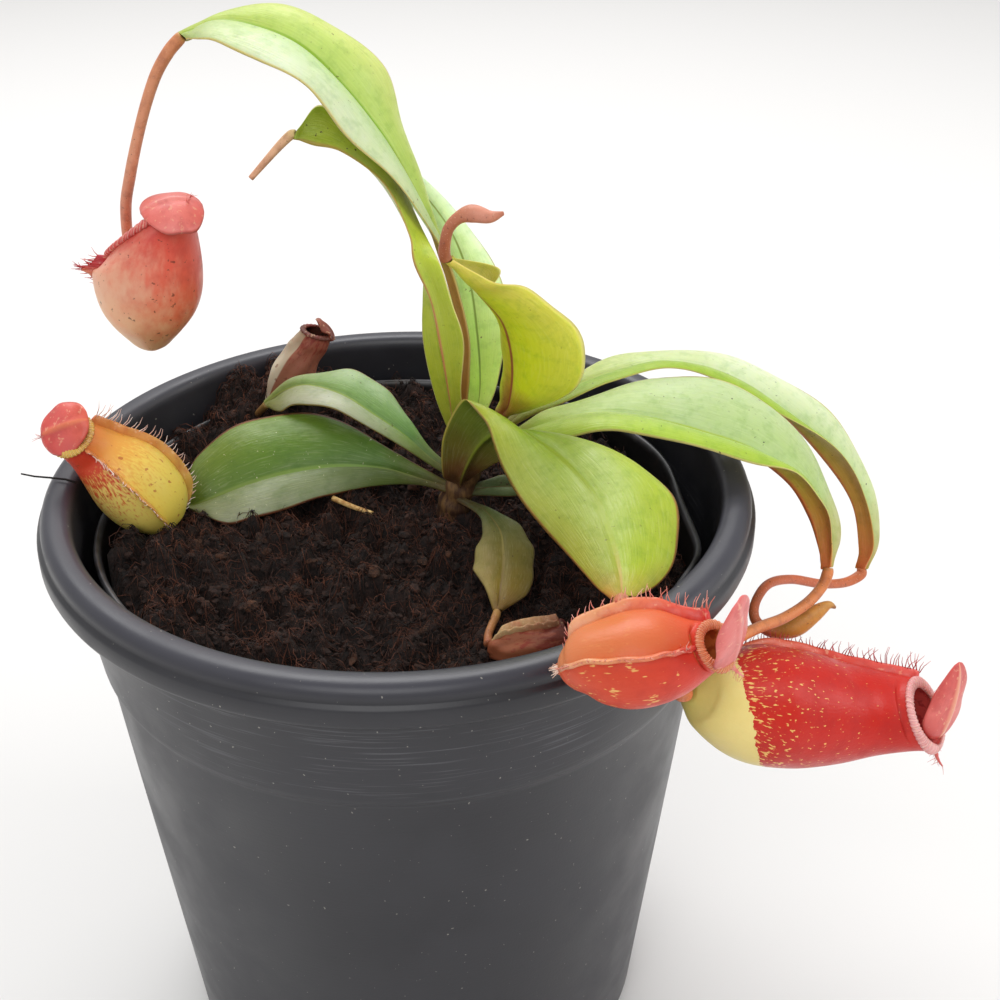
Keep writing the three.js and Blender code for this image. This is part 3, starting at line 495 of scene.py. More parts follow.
def tube(name, stations, around=12, per_station=8, shape=lambda u, v: 0.0):
    """A round stalk through stations of (x, y, z, radius), closed at both ends."""
    steps = per_station * (len(stations) - 1)
    frames = carried(stations, steps, (0.31, 0.93, 0.2))

    def place(u, v):
        row = round(v * (steps + 2)) - 1
        p, _, side, across, r = frames[min(max(row, 0), steps)]
        if row < 0 or row > steps:
            return p
        r += shape(u, v)
        return p + side * (r * math.cos(u * 2 * math.pi)) + across * (r * math.sin(u * 2 * math.pi))
    return rolled(name, around, steps + 2, place)


def leaf_scars(u, v):
    return 0.16 * math.sin(v * 58) + 0.1 * math.sin(u * 25 + v * 9)


stem = tube("plant_stem", STEM, 28, 14, leaf_scars)
stem_skin, t, shader, spot = finish("stem_bark", 0.62)
level = add(t, "SeparateXYZ", {0: spot}).outputs[2]
bark = grain(t, stretched(t, spot, (1, 1, 0.35)), 900.0, 5.0, 0.65)
STEM_FROM, STEM_TO = 0.098, 0.117
colour = stops(t, between(t, level, STEM_FROM, STEM_TO), "0 3d2418 0.5 5f4124 1 7a5b2a")
colour = tint(t, between(t, bark, 0.4, 0.65, 0, 0.6), colour, "#8d6a3c")
surface(t, shader, colour, bark, 0.2, 0.8)
fit(stem, stem_skin, "stem")

# ---- Straw ------------------------------------------------------------------------------------
# One loose piece of dry grass stalk that came in with the mix: pale, ribbed and about 9 mm long.
# Nothing holds it; it lies where it fell, under the left leaf.
STRAW = [(-12.8, 9.2, 100.9, 0.5), (-9, 7, 100.4, 0.45), (-5.4, 4.6, 100.5, 0.4)]
straw = tube("loose_straw", STRAW, 12, 10)
straw_skin, t, shader, spot = finish("dry_straw", 0.7)
lines = grain(t, stretched(t, spot, (1, 1, 3), (0, 0, 0.55)), 900.0, 3.0)
colour = tint(t, between(t, lines, 0.35, 0.65), "#a9793f", "#d9b878")
surface(t, shader, colour, lines, 0.1, 0.7)
fit(straw, straw_skin, "straw")

# ---- Tall leaf --------------------------------------------------------------------------------
# Every leaf is one waxy blade with a winged stalk, a midrib that stands out below and a tip that
# runs on into a tendril. The tallest arches up to the left, light green with a cream margin.
def leaf(name, stations, upper, swell, wave=0.3, phase=0.0):
    """A blade through stations in mm: x, y, z of the midrib, then how far off margins A and B lie."""
    last = len(stations) - 1
    rows = 12 * last
    mid = rail([Vector(s[:3]) for s in stations])
    edges = [rail([Vector(s[:3]) + Vector(s[k:k + 3]) for s in stations]) for k in (3, 6)]
    rings = []
    for i in range(rows + 1):
        s = i / rows * last
        m = mid(s)
        tangent = (mid(min(s + 0.05, last)) - mid(max(s - 0.05, 0))).normalized()
        a, b = edges[0](s) - m, edges[1](s) - m
        over_a = tangent.cross(a).normalized() * upper
        over_b = b.cross(tangent).normalized() * upper
        over = (over_a + over_b).normalized()
        rings.append((m, (a, over_a, swell[0]), (b, over_b, swell[1]), over))

    def place(u, v):
        m, half_a, half_b, over = rings[round(v * rows)]
        across = 4 * abs(u - 0.5) - 1
        w = abs(across)
        half, over_half, full = half_a if across < 0 else half_b
        width = half.length
        normal = over.lerp(over_half, min(1, w * 1.6)).normalized()
        point = m + half * w + over_half * (width * full * 4 * w * (1 - w))
        ripple = math.sin(v * 34 + phase + 3 * math.copysign(1, across)) * ease(2, 7, width)
        point += normal * (wave * w * w * ripple)
        stalk = 1 - ease(1.2, 3.2, width)
        depth = 0.2 * math.sqrt(max(0, 1 - w ** 8)) + 0.3 * stalk * math.sqrt(max(0, 1 - w * w))
        reach = w * width
        if u < 0.5:
            return point + normal * (depth - 0.22 * bump(reach, 0.55) * (1 - stalk) * (1 - w))
        rib = 0.75 * bump(reach, 0.6) * ease(0, 1.5, width) * (1 - w)
        return point - normal * (depth + rib)
    return rolled(name, 64, rows, place)


def fleshy(shader, specular, share, radius, depth_mm, coat_roughness=0.03):
    """Plant tissue: a weak shine, and light that spreads below the skin."""
    shader.inputs["Specular IOR Level"].default_value = specular
    shader.inputs["Subsurface Weight"].default_value = share
    shader.inputs["Subsurface Radius"].default_value = radius
    shader.inputs["Subsurface Scale"].default_value = depth_mm * MM
    shader.inputs["Coat Roughness"].default_value = coat_roughness


def round_and_along(tree):
    """The shares round a rolled skin and along it."""
    return add(tree, "SeparateXYZ", {0: add(tree, "TexCoord", {}).outputs["UV"]}).outputs[:2]


def leaf_finish(name, places, upper_ramps_and_glare, under, rib, margin, rib_under=None, specks=0.35,
                speck_colour="#4a3418", gloss=0.34, edge=0.94):
    """Leaf skin. Each ramp runs from stalk to tip. The four upper ones are half A beside the midrib
    and beside the margin, then half B; they share their places, unless places is empty. Their
    whitish tones and the difference between the two halves are partly the leaf's own colour and
    partly painted highlight and shade, from how the light falls on each half."""
    skin, t, shader, spot = finish(name, gloss, 0.06)
    fleshy(shader, 0.32, 0.3, (0.7, 1.0, 0.15), 0.8, 0.3)
    if places:
        upper_ramps_and_glare = [" ".join(f"{p} {c}" for p, c in zip(places.split(), row.split())) for row in upper_ramps_and_glare]
    round_it, along = round_and_along(t)
    across = minus(t, times(t, calc(t, "ABSOLUTE", minus(t, round_it, 0.5)), 4), 1)
    out = calc(t, "ABSOLUTE", across)
    top = between(t, round_it, 0.502, 0.498)
    side_b = between(t, across, -0.04, 0.04)
    drift = times(t, minus(t, grain(t, spot, 110.0, 3.0), 0.5), 0.16)
    place = plus(t, along, drift, True)
    spread = between(t, plus(t, out, drift), 0.2, 0.85)
    # Each half gets its own ramps: partly its own colour, partly painted highlight and shade.
    near_a, far_a, near_b, far_b = [stops(t, place, ramp) for ramp in upper_ramps_and_glare]
    upper = tint(t, side_b, tint(t, spread, near_a, far_a), tint(t, spread, near_b, far_b))
    colour = tint(t, top, stops(t, place, under), upper)
    net = add(t, "CombineXYZ", {0: times(t, across, 11), 1: times(t, along, 5), 2: top}).outputs[0]
    veins = grain(t, net, 3.0, 3.0, 0.6)
    colour = tint(t, between(t, veins, 0.42, 0.7, 0, 0.14), colour, tint(t, 0.5, colour, "#3f6a1c"))
    colour = tint(t, between(t, veins, 0.5, 0.3, 0, 0.08), colour, "#eef2c8")
    mottle = grain(t, spot, 420.0, 4.0, 0.62)
    colour = tint(t, between(t, mottle, 0.45, 0.72, 0, 0.3), colour, "#a9c98a", "MULTIPLY")
    line = between(t, plus(t, out, times(t, drift, 0.15)), 0.05, 0.02)
    lower_line = between(t, out, 0.09, 0.03)
    colour = tint(t, times(t, line, top), colour, stops(t, along, rib))
    colour = tint(t, times(t, lower_line, minus(t, 1.0, top)), colour, stops(t, along, rib_under or rib))
    colour = tint(t, between(t, out, edge, edge + 0.035), colour, stops(t, along, margin))
    dots = between(t, grain(t, spot, 1500.0, 2.0, 0.5), 0.69, 0.745)
    patch = between(t, grain(t, spot, 130.0, 2.0), 0.42, 0.62)
    colour = tint(t, times(t, times(t, dots, patch), specks * 2, True), colour, speck_colour)
    dull = between(t, mottle, 0.35, 0.7, gloss - 0.05, gloss + 0.13)
    cells = add(t, "TexVoronoi", {"Vector": spot, "Scale": 1500.0}).outputs[0]
    height = plus(t, times(t, veins, 1.4), times(t, cells, 0.35))
    surface(t, shader, colour, plus(t, height, times(t, mottle, 0.6)), 0.12, 0.55, dull)
    return skin


def grow_leaf(which, slot, stations, shape, *colours, **more):
    """Makes one leaf's blade with its skin. The shape is what leaf takes after the stations."""
    blade = leaf(f"leaf_blade_{which}", stations, *shape)
    fit(blade, leaf_finish(f"leaf_{which}_skin", *colours, **more), f"leaf_{which}")


grow_leaf("tall", "leaf_light_green", [
    (12.6, 11, 110, 0.6, -0.6, 0.2, -0.6, 0.6, -0.2), (10.8, 12.8, 116.5, 0.5, -0.6, 0.2, -0.5, 0.6, -0.2),
    (11, 14, 122.5, 0.6, -0.6, 0.1, -0.6, 0.6, -0.1), (11, 16, 128.5, 0.7, -0.6, 0.3, -0.6, 0.6, -0.2),
    (9.5, 18, 135.5, 0.7, -0.7, 0.3, -0.6, 0.7, -0.2), (8, 20, 141.5, 0.2, -1.2, 0.2, -0.6, 1.2, -0.4),
    (5.5, 22, 147.5, -1, -2.5, 1, 0, 3, -0.5), (1, 24, 156, -2.5, -6, 1.5, 2, 5, -1.5),
    (-3, 25, 162.5, -5, -8, 2, 3.5, 8, -1.5), (-9, 26, 170, -5, -9, 2, 6.5, 8, 0.5),
    (-15.5, 27, 176, -5.5, -9, 0, 5.5, 8, 1), (-23, 28, 179, -3.5, -8, -1.5, 5, 7, 1.5),
    (-29.5, 29, 179.5, -1, -6, -1.5, 2.5, 4, 0.5), (-35, 29, 177, 0.8, -1, -0.2, -0.8, 1, 0.2),
], (1, (0.1, 0.12)), "0 0.35 0.5 0.75 1",
    ("8d7a3a 93a54a b7cf8a c7dba6 b0c26a", "8d7a3a 93a54a cbd9a4 dbe6c4 b9c877",
    "8d7a3a 9aa742 a9c24e c2d873 b3c452", "8d7a3a 9aa742 bfd06a d3dd80 b3c452"),
    "0 a5682f 0.35 b4823f 0.6 a9b04a 1 9aa83e", "0 a5682f 0.45 a48a3a 0.6 8fb83a 1 9bb83a",
    "0 9a6a38 0.4 c4ad62 0.6 ead98e 1 d8c277", rib_under="0 a5582f 0.5 c8804a 1 c8904a")

# ---- Upright leaf -----------------------------------------------------------------------------
# A narrower blade that stands behind the tall leaf's stalk and shows its olive underside, with an
# orange-pink midrib and cream margins.
grow_leaf("upright", "leaf_light_green", [
    (11, 9.6, 106.5, 0.6, -0.9, 0.3, -0.8, 0.5, -0.3), (10, 7.8, 113.5, 1, -0.8, 0.4, -1.3, 0.6, -0.5),
    (9, 7, 122.5, 1.5, -2, 1.5, -3, 2, -1.5), (7.5, 8, 131.5, 3.5, -2, 1.5, -3.5, 2, -0.5),
    (6, 11, 138.5, 3, -2, 0.5, -2, 3, -1), (3.5, 14, 143.5, 3.5, -1, 0.5, 0.5, 5, -0.5),
    (2, 17, 147.5, 2, 4, -1, -0.8, 6.5, -0.8), (-2, 20, 155, 1.5, 6, 0, -2.4, 7.4, -1),
    (-9, 23, 160, 1, 4, 2.5, -1.6, 6.8, 0.2), (-14, 24.5, 161, 1, 3.5, 5, 0, 5.5, 1.2),
    (-17, 25, 162, 0.4, 0.2, 0.8, 0, 1.4, -0.2),
], (1, (0, 0), 0.2, 1.0), "0 0.3 0.6 1",
    ("7d6a2a b8c83a b0c840 98b43c", "7d6a2a b8c83a c4d250 a8bc46", "7d6a2a c3cd7c b6c668 9fb45a",
    "7d6a2a d4d99c c3cd84 a8b860"),
    "0 6e5526 0.25 b4be36 0.6 bccd3c 1 9cac34", "0 8f5a30 0.3 c98a58 0.7 b9a04a 1 a9943e",
    "0 8a6a34 0.3 dccf86 1 cfc070", specks=0.6)

# ---- Rear leaf --------------------------------------------------------------------------------
# The blade at the back grows from the stem and rises behind the others, in the same waxy tissue:
# pale mint at the top and mid green lower down. These tones are partly painted light, made
# brighter for the light that shines through the blade from behind.
grow_leaf("rear", "leaf_light_green", [
    (12.5, 11.5, 107, 0.9, -0.5, 0.4, -0.9, 0.5, -0.4), (13, 15, 113.5, 1.2, -0.6, 0.3, -1.2, 0.8, -0.6),
    (13.5, 19, 119.5, 3, -1, -0.5, -3.5, 2, -1.5), (13, 23, 126.5, 5, -1, 1.5, -4.5, 2, -1),
    (11.5, 28, 135, 6, -1, -0.5, -4, 2, -2), (8, 33, 142.5, 4.5, 1, -1.5, -3, 1, -2.5),
    (1.5, 37, 150, 3.5, 1, -1.5, -2, 1, -2), (-3, 39, 155, 0.4, -0.6, 0.3, -0.5, 0.6, 0.1),
], (-1, (0.08, 0.08), 0.3, 2.0), "0 0.3 0.65 1",
    ("76722c cef26a daf6a8 dcf4c0", "76722c d2f472 e2f8c2 e4f8d2", "76722c c6f060 d0f098 d4f0b4",
    "76722c cef26a d8f4a6 dcf4c0"),
    "0 6a5a2a 0.3 8a9c3c 0.7 97aa48 1 9ab050", "0 7d6232 0.3 88a83e 1 a4bb60",
    "0 7d6232 0.3 bfc274 1 cfd090",
    rib_under="0 8f5a30 1 c0804a")

# ---- Young leaf -------------------------------------------------------------------------------
# The newest blade stands upright at the middle, still folded and thin: yellow-green with a pale
# yellow margin, a maroon stalk and a red-brown midrib. Its yellow-green is partly painted light,
# made brighter for the light that shines through the thin blade.
grow_leaf("young", "leaf_yellow_green", [
    (16.3, 9.6, 114.4, 0.8, -0.6, 0, -0.8, 0.6, 0), (17.4, 8.4, 118, 1.3, -1, 0.3, -1.3, 1, 0.2),
    (18.5, 6, 121.5, 4.5, -3, 0.5, -1.5, 5, -1.5), (19, 4, 128, 10.5, -6, 0.5, -1.5, 7, -3),
    (18.5, 1, 134.5, 12, -4, 2, -1, 8, -2.5), (17, -2, 140.5, 10, -3, 2, 0, 7, -2.5),
    (13.5, -5, 146, 8, -3, 2, 2.5, 7, -1.5), (11, -8, 150, 4.5, -2, 0.5, 6, 7.5, -1.5),
    (9, -9.5, 153.5, 0.9, -0.5, 0.1, 0.6, 1, 0),
], (-1, (0.14, 0.06), 0.25, 0.5), "",
    ("0 5a2e22 0.14 8a4428 0.24 c09a34 0.34 e2e828 0.7 e8f038 1 e0da50",
    "0 5a2e22 0.16 b09c36 0.3 dadc46 0.7 e6e05c 1 dccc58",
    "0 5a2e22 0.14 8a4428 0.26 b47a32 0.4 dcd02e 0.66 e2ea2c 1 dcd650",
    "0 5a2e22 0.16 a48e30 0.3 d2d832 0.7 dadc46 1 d8ca50"),
    "0 5a2e22 0.16 8a4a2a 0.35 aa6a38 0.6 b8a63c 1 bcb646", "0 5a2e22 0.3 a8553a 0.8 b8743f 1 c0883f",
    "0 6a3a26 0.2 d8b866 0.4 ecdf8a 1 e6cf72", specks=0.2, edge=0.95)

# ---- Right leaf -------------------------------------------------------------------------------
# The broad blade that grows from the stem, arches out over the rim to the right and turns down at
# its end: pale green above, with an underside that turns orange towards the tip.
grow_leaf("right", "leaf_light_green", [
    (14.6, 9, 110.4, 0.3, -1, 0, -0.2, 1, 0), (19.5, 6.5, 115, -0.1, -1.6, 0, 0.3, 1.6, 0.2),
    (24.5, 5, 118, 0, -5, -0.5, 1, 4, 1), (32.5, 4, 120.5, 0.5, -7, 0, 2, 8, -0.5),
    (41.5, 3, 120, -1, -7, 1, 2, 12, 2), (50.5, 2, 118, -0.5, -7, 0.5, 4, 14, 3),
    (59.5, 1, 115, 0, -6, 1, 4.5, 13, 2.5), (66.5, 0, 110, 0, -5, 3.5, 4.5, 11, 0.5),
    (70.5, -1, 104, 1, -4, 4, 5.5, 8, -2), (72.5, -3, 99, 1, -2, 1.5, 4, 5, -2.5),
    (73.5, -4.5, 95, 0.4, -0.6, 0.6, 0.9, 0.9, -0.2),
], (-1, (0.16, 0.1), 0.35, 0.2), "0 0.2 0.45 0.75 1",
    ("7a5a2c 94aa3c a9c268 9dbc4e b9a040", "7a5a2c 9cb03c a8c440 a2bc3c bfa844",
    "7a5a2c 9fb64e b4c98e afc77a b7a444", "7a5a2c a6ba54 bfd09c bacd8c b9a848"),
    "0 7a4a26 0.25 a8a83c 0.6 b8b440 0.85 cf8f45 1 d3733f", "0 8a5a30 0.2 97b03a 0.7 a6b83e 1 c99048",
    "0 8a5a30 0.2 c9c268 0.8 d8cd7e 1 d3974f", rib_under="0 a5582f 0.5 cf8048 1 d96a3c", specks=0.5,
    speck_colour="#2e2a1c")

# ---- Far right leaf ---------------------------------------------------------------------------
# A narrower blade that grows behind the right one, reaches further out and droops to an orange end.
# Its midrib carries on into a looped tendril.
grow_leaf("far_right", "leaf_light_green", [
    (15, 10.5, 110.5, 0.3, -1, 0, -0.2, 1, 0), (20, 11.8, 115.5, 0.2, -1.1, -0.3, -0.4, 1.2, 0.6),
    (27.5, 14.5, 119, 0.5, -3.5, 0, 1, 4, 0.5), (36.5, 17.5, 121.5, 0, -4.5, 0.5, 1.5, 6, 0.5),
    (46.5, 21, 122, -0.5, -4.5, 1, 3, 7, -1), (57.5, 22, 119, -1, -4.5, 0.5, 4, 7, -0.5),
    (68, 21, 112.5, -0.5, -4.5, 1, 4.5, 6, 1), (77, 19.5, 103.5, 1.5, -4, 3, 3.5, 5, 3.5),
    (83, 18, 95, 1, -2, 2, 3.5, 4, 1.5), (85, 16, 86.5, 1.6, -1, 1.3, 3.4, 2, 0.5),
    (85, 15, 82, 0.5, -0.6, 0.3, 1.3, 0.5, -0.1),
], (-1, (0.12, 0.1), 0.3, 1.6), "0 0.25 0.5 0.8 1",
    ("7a5a2c 8fae42 a4c058 97b545 b59a40", "7a5a2c 96b03a a2bf3c 9fb73a bf9f44",
    "7a5a2c b4c46c d8e4ba c4d694 b59a40", "7a5a2c c0cc7a e4ebca d0dea4 b79e44"),
    "0 7a4a26 0.25 a2a43a 0.6 b2ae3e 0.85 c98a42 1 cf6f3c", "0 8a5a30 0.2 97b03a 0.7 a6b83e 1 c98a48",
    "0 8a5a30 0.2 c5c068 0.8 d4ca7c 1 d08c4c", rib_under="0 a5582f 0.5 cf8048 1 d96a3c", specks=0.5,
    speck_colour="#2e2a1c")

# ---- Front leaf -------------------------------------------------------------------------------
# The blade that comes forward over the rim: yellow-green with wide paler patches, which are
# painted highlight where the blade is glossy, an orange-tinged left margin and a maroon base.
grow_leaf("front", "leaf_light_green", [
    (9.8, 9.4, 104, -1, -0.3, 0.2, 1, -0.3, 0.2), (10.5, 5, 108.5, -3.5, 0.3, -0.5, 3, 0, 0),
    (14, 2.5, 116, -6.5, 2, 0.5, 4.5, -2.5, -1.5), (18, -1.5, 120.5, -7, 3, 4, 5.5, -2.5, -3),
    (22, -6, 121.5, -7.5, 3, 1, 10.5, -1.5, -2), (27, -13, 121, -9.5, 2, -3, 13, 0.5, -1.5),
    (31.5, -20.5, 119, -10, 1, -3.5, 13, 2.5, -2.5), (33.5, -28.5, 117.2, -7, 0, -3, 11, 3, -4),
    (34.6, -36, 115.2, -4, -1, -1.5, 7, 3, -3.5), (34.6, -42, 114.4, -1.6, 0, -0.1, 1.6, 0.8, -0.5),
], (-1, (0.1, 0.14), 0.35, 0.9), "0 0.2 0.4 0.6 0.85 1",
    ("5f3a24 5f7a2c 8aa52c a2b650 96a222 ae8e30", "5f3a24 6c8430 a8b530 acb850 9c9c22 c08034",
    "5f3a24 5b762a 88a42a aec266 a0b426 ae9a30", "5f3a24 6f8a2e a8b834 abbe38 a2b226 ae9a30"),
    "0 5a2c22 0.12 6e4a28 0.3 74842e 0.6 97a438 1 a98a3e", "0 6a3a26 0.3 8aa336 0.8 a3b43c 1 c08a48",
    "0 6a3a26 0.3 bfae58 0.7 cf9a55 1 c98048", specks=0.25)

# ---- Left leaf --------------------------------------------------------------------------------
# An older, darker blade that lies low over the mix to the left, with a red-brown margin line and
# small pale specks. Its A half is painted pale grey-green: a painted highlight where it shines.
left_low = leaf("leaf_blade_left_low", [
    (8.5, 10.5, 102, -0.1, -1, -0.6, -0.1, 1, 0.6), (2.5, 11.2, 104, 0.2, -0.4, -1.4, -0.1, 1, 2),
    (-4.5, 13, 105, 0, -1, -3.2, 0, 3.5, 3), (-12.5, 13.5, 105, 0.5, -4, -3.4, 0, 8.5, 5),
    (-20.5, 13, 104, 0.5, -6.5, -3.4, -2, 11.5, 6), (-28, 10.5, 103, 1, -7.5, -3, -3.5, 10.5, 6),
    (-33.5, 8, 101.8, 2, -5.5, -2, -4, 7, 4.5), (-37, 7.5, 100.6, 2, -3, -0.5, -1.5, 2.5, 2),
    (-38.4, 8, 100.1, 0.5, -1.2, -0.2, -0.5, 1, 0.4),
], 1, (0.1, 0.12), 0.3, 2.6)
fit(left_low, leaf_finish(
    "leaf_left_skin", "0 0.25 0.6 1",
    ("5f4a2a 54682a 838e64 747c46", "5f4a2a 627636 989e80 808454", "5f4a2a 52762a 5f8022 6a7a2e",
    "5f4a2a 5c7e30 6c8628 75803a"),
    "0 5a3a24 0.3 5f6a30 0.8 6a6f34 1 6a5a30", "0 6a4a2c 0.3 73953c 1 7f8c44",
    "0 6a3a28 0.3 8c5a3c 1 8a4f38",
    specks=0.5, speck_colour="#c9c8a2", gloss=0.38), "leaf_left_low")

# ---- Back left leaf ---------------------------------------------------------------------------
# A small blade that grows behind the left one and bends down towards the mix: grey-green where it
# shines, with an olive underside.
grow_leaf("back_left", "leaf_dark_green", [
    (9.5, 11.5, 104, 0.2, -0.6, -1, -0.2, 0.6, 1), (4.5, 13, 107, -0.3, -0.5, -1, 0.1, 1.6, 1),
    (0, 15, 110.5, -0.4, -2, -1.3, 0.8, 3.5, 1.4), (-5.5, 18, 113, -0.5, -2.5, -1.5, 2, 6, 2),
    (-11.5, 22, 115, -1, -4, -1, 2, 6, 2), (-18, 26, 115, -1.5, -4, -2, 1.5, 3, 1),
    (-22.5, 28, 113, -1, -3, -3, 0.5, 1.5, 1.5), (-26.5, 29, 109.5, 0.6, -0.9, -0.4, -0.4, 0.9, 0.3),
], (1, (0.1, 0.1), 0.25, 3.3), "0 0.25 0.6 1",
    ("5f4a2a 6d863c a8ae92 7f843e", "5f4a2a 7c9048 bcbfa8 8a8c46", "5f4a2a 5c853c 7fa05a 7f8a40",
    "5f4a2a 6a9048 9db384 868c48"),
    "0 5a3a24 0.3 6c6a2e 0.8 8a7c34 1 8a6c34", "0 6a4a2c 0.3 7d9a40 1 92984a",
    "0 6a4028 0.3 9a8a50 1 94784a",
    specks=0.4, gloss=0.38)

# ---- Withered leaf ----------------------------------------------------------------------------
# An old blade close to the mix at the front, drying from the tip: grey-green above, olive-brown
# below, with a pale curled left edge.
grow_leaf("withered", "leaf_olive", [
    (9.2, 9.5, 100.8, -0.7, -0.2, 0, 0.7, -0.2, 0), (12.6, 4.6, 102, -0.9, -0.4, -0.2, 0.9, -0.2, 0.3),
    (15, -1.5, 104, -1.5, 0.8, -1, 2, -0.5, 0.5), (17, -7.5, 104.5, -3, 3, -1.6, 3.5, 1.5, 0),
    (17.5, -12.5, 104, -4.5, 2.6, -2, 5, 2.5, -1.6), (17.5, -17, 103, -5, 2.5, -1.5, 5, 1.5, -1.5),
    (17, -21, 101.6, -2.5, 1.5, -0.5, 4.5, 0.5, -1), (16.5, -25.5, 100.6, -0.6, 0.3, -0.1, 0.8, 0.3, -0.2),
], (-1, (0.1, 0.12), 0.45, 4.1), "0 0.3 0.6 0.85 1",
    ("4a3020 5a6430 746620 86701f 7a5a26", "4a3020 6e7650 948850 a89458 8a6a30",
    "4a3020 566230 6e6422 806a20 7a5a26", "4a3020 66704a 746a2c 7e6a26 7a5a26"),
    "0 3d2418 0.4 5a4424 1 6a4a28", "0 5a3a24 0.5 8a8040 1 7a5a30", "0 5a3a24 0.4 a89a6a 1 8a6a40",
    specks=0.9, speck_colour="#3a2818", gloss=0.5)

# ---- Shaded leaf ------------------------------------------------------------------------------
# The smallest, oldest leaf, tucked under the right one next to the stem: one dull olive-green blade
# with brown specks.
old_green = "0 4a3020 0.3 4c5a2c 0.7 5a6a30 1 6a5a30"
grow_leaf("shaded", "leaf_dark_green", [
    (9.5, 10.5, 101.2, 0.2, -0.8, -0.3, -0.2, 0.8, 0.3), (14, 9.6, 102.6, 0.1, -1.2, -0.8, 0.3, 1, 1.2),
    (18, 9.6, 103, 0.5, -1.8, -1, 0.1, 1.6, 1.6), (22, 9.8, 102.4, 0.2, -1.2, -0.5, 0, 1.2, 0.8),
    (24.6, 9.8, 101.6, 0, -0.5, -0.1, 0, 0.5, 0.1),
], (-1, (0.1, 0.1), 0.15, 5.0),
    "", [old_green] * 4, old_green,
    "0 5a3a24 1 7a6a34", "0 5a3a24 1 7a5a34", specks=0.8, gloss=0.48)

# ---- Tendrils ---------------------------------------------------------------------------------
# Each leaf's midrib runs on past the tip as a round, downy stalk that hangs or coils. On a ripe one
# a pitcher swells at the end; the young and the far right ones still carry a closed, beaked bud.
def tendril_finish(name, ramp):
    """Downy stalk skin; the ramp runs from the leaf to the end."""
    skin, t, shader, spot = finish(name, 0.5)
    along = round_and_along(t)[1]
    mottle = grain(t, spot, 520.0, 4.0, 0.6)
    colour = tint(t, between(t, mottle, 0.4, 0.75, 0, 0.42), stops(t, along, ramp), "#8a4530")
    dots = between(t, grain(t, spot, 1900.0, 1.0), 0.7, 0.76)
    colour = tint(t, times(t, dots, 0.6), colour, "#5a2c1e")
    down = between(t, grain(t, spot, 3200.0, 1.0), 0.62, 0.75)
    colour = tint(t, times(t, down, 0.35), colour, "#f0c0a0")
    surface(t, shader, colour, plus(t, mottle, down), 0.08, 0.6)
    return skin


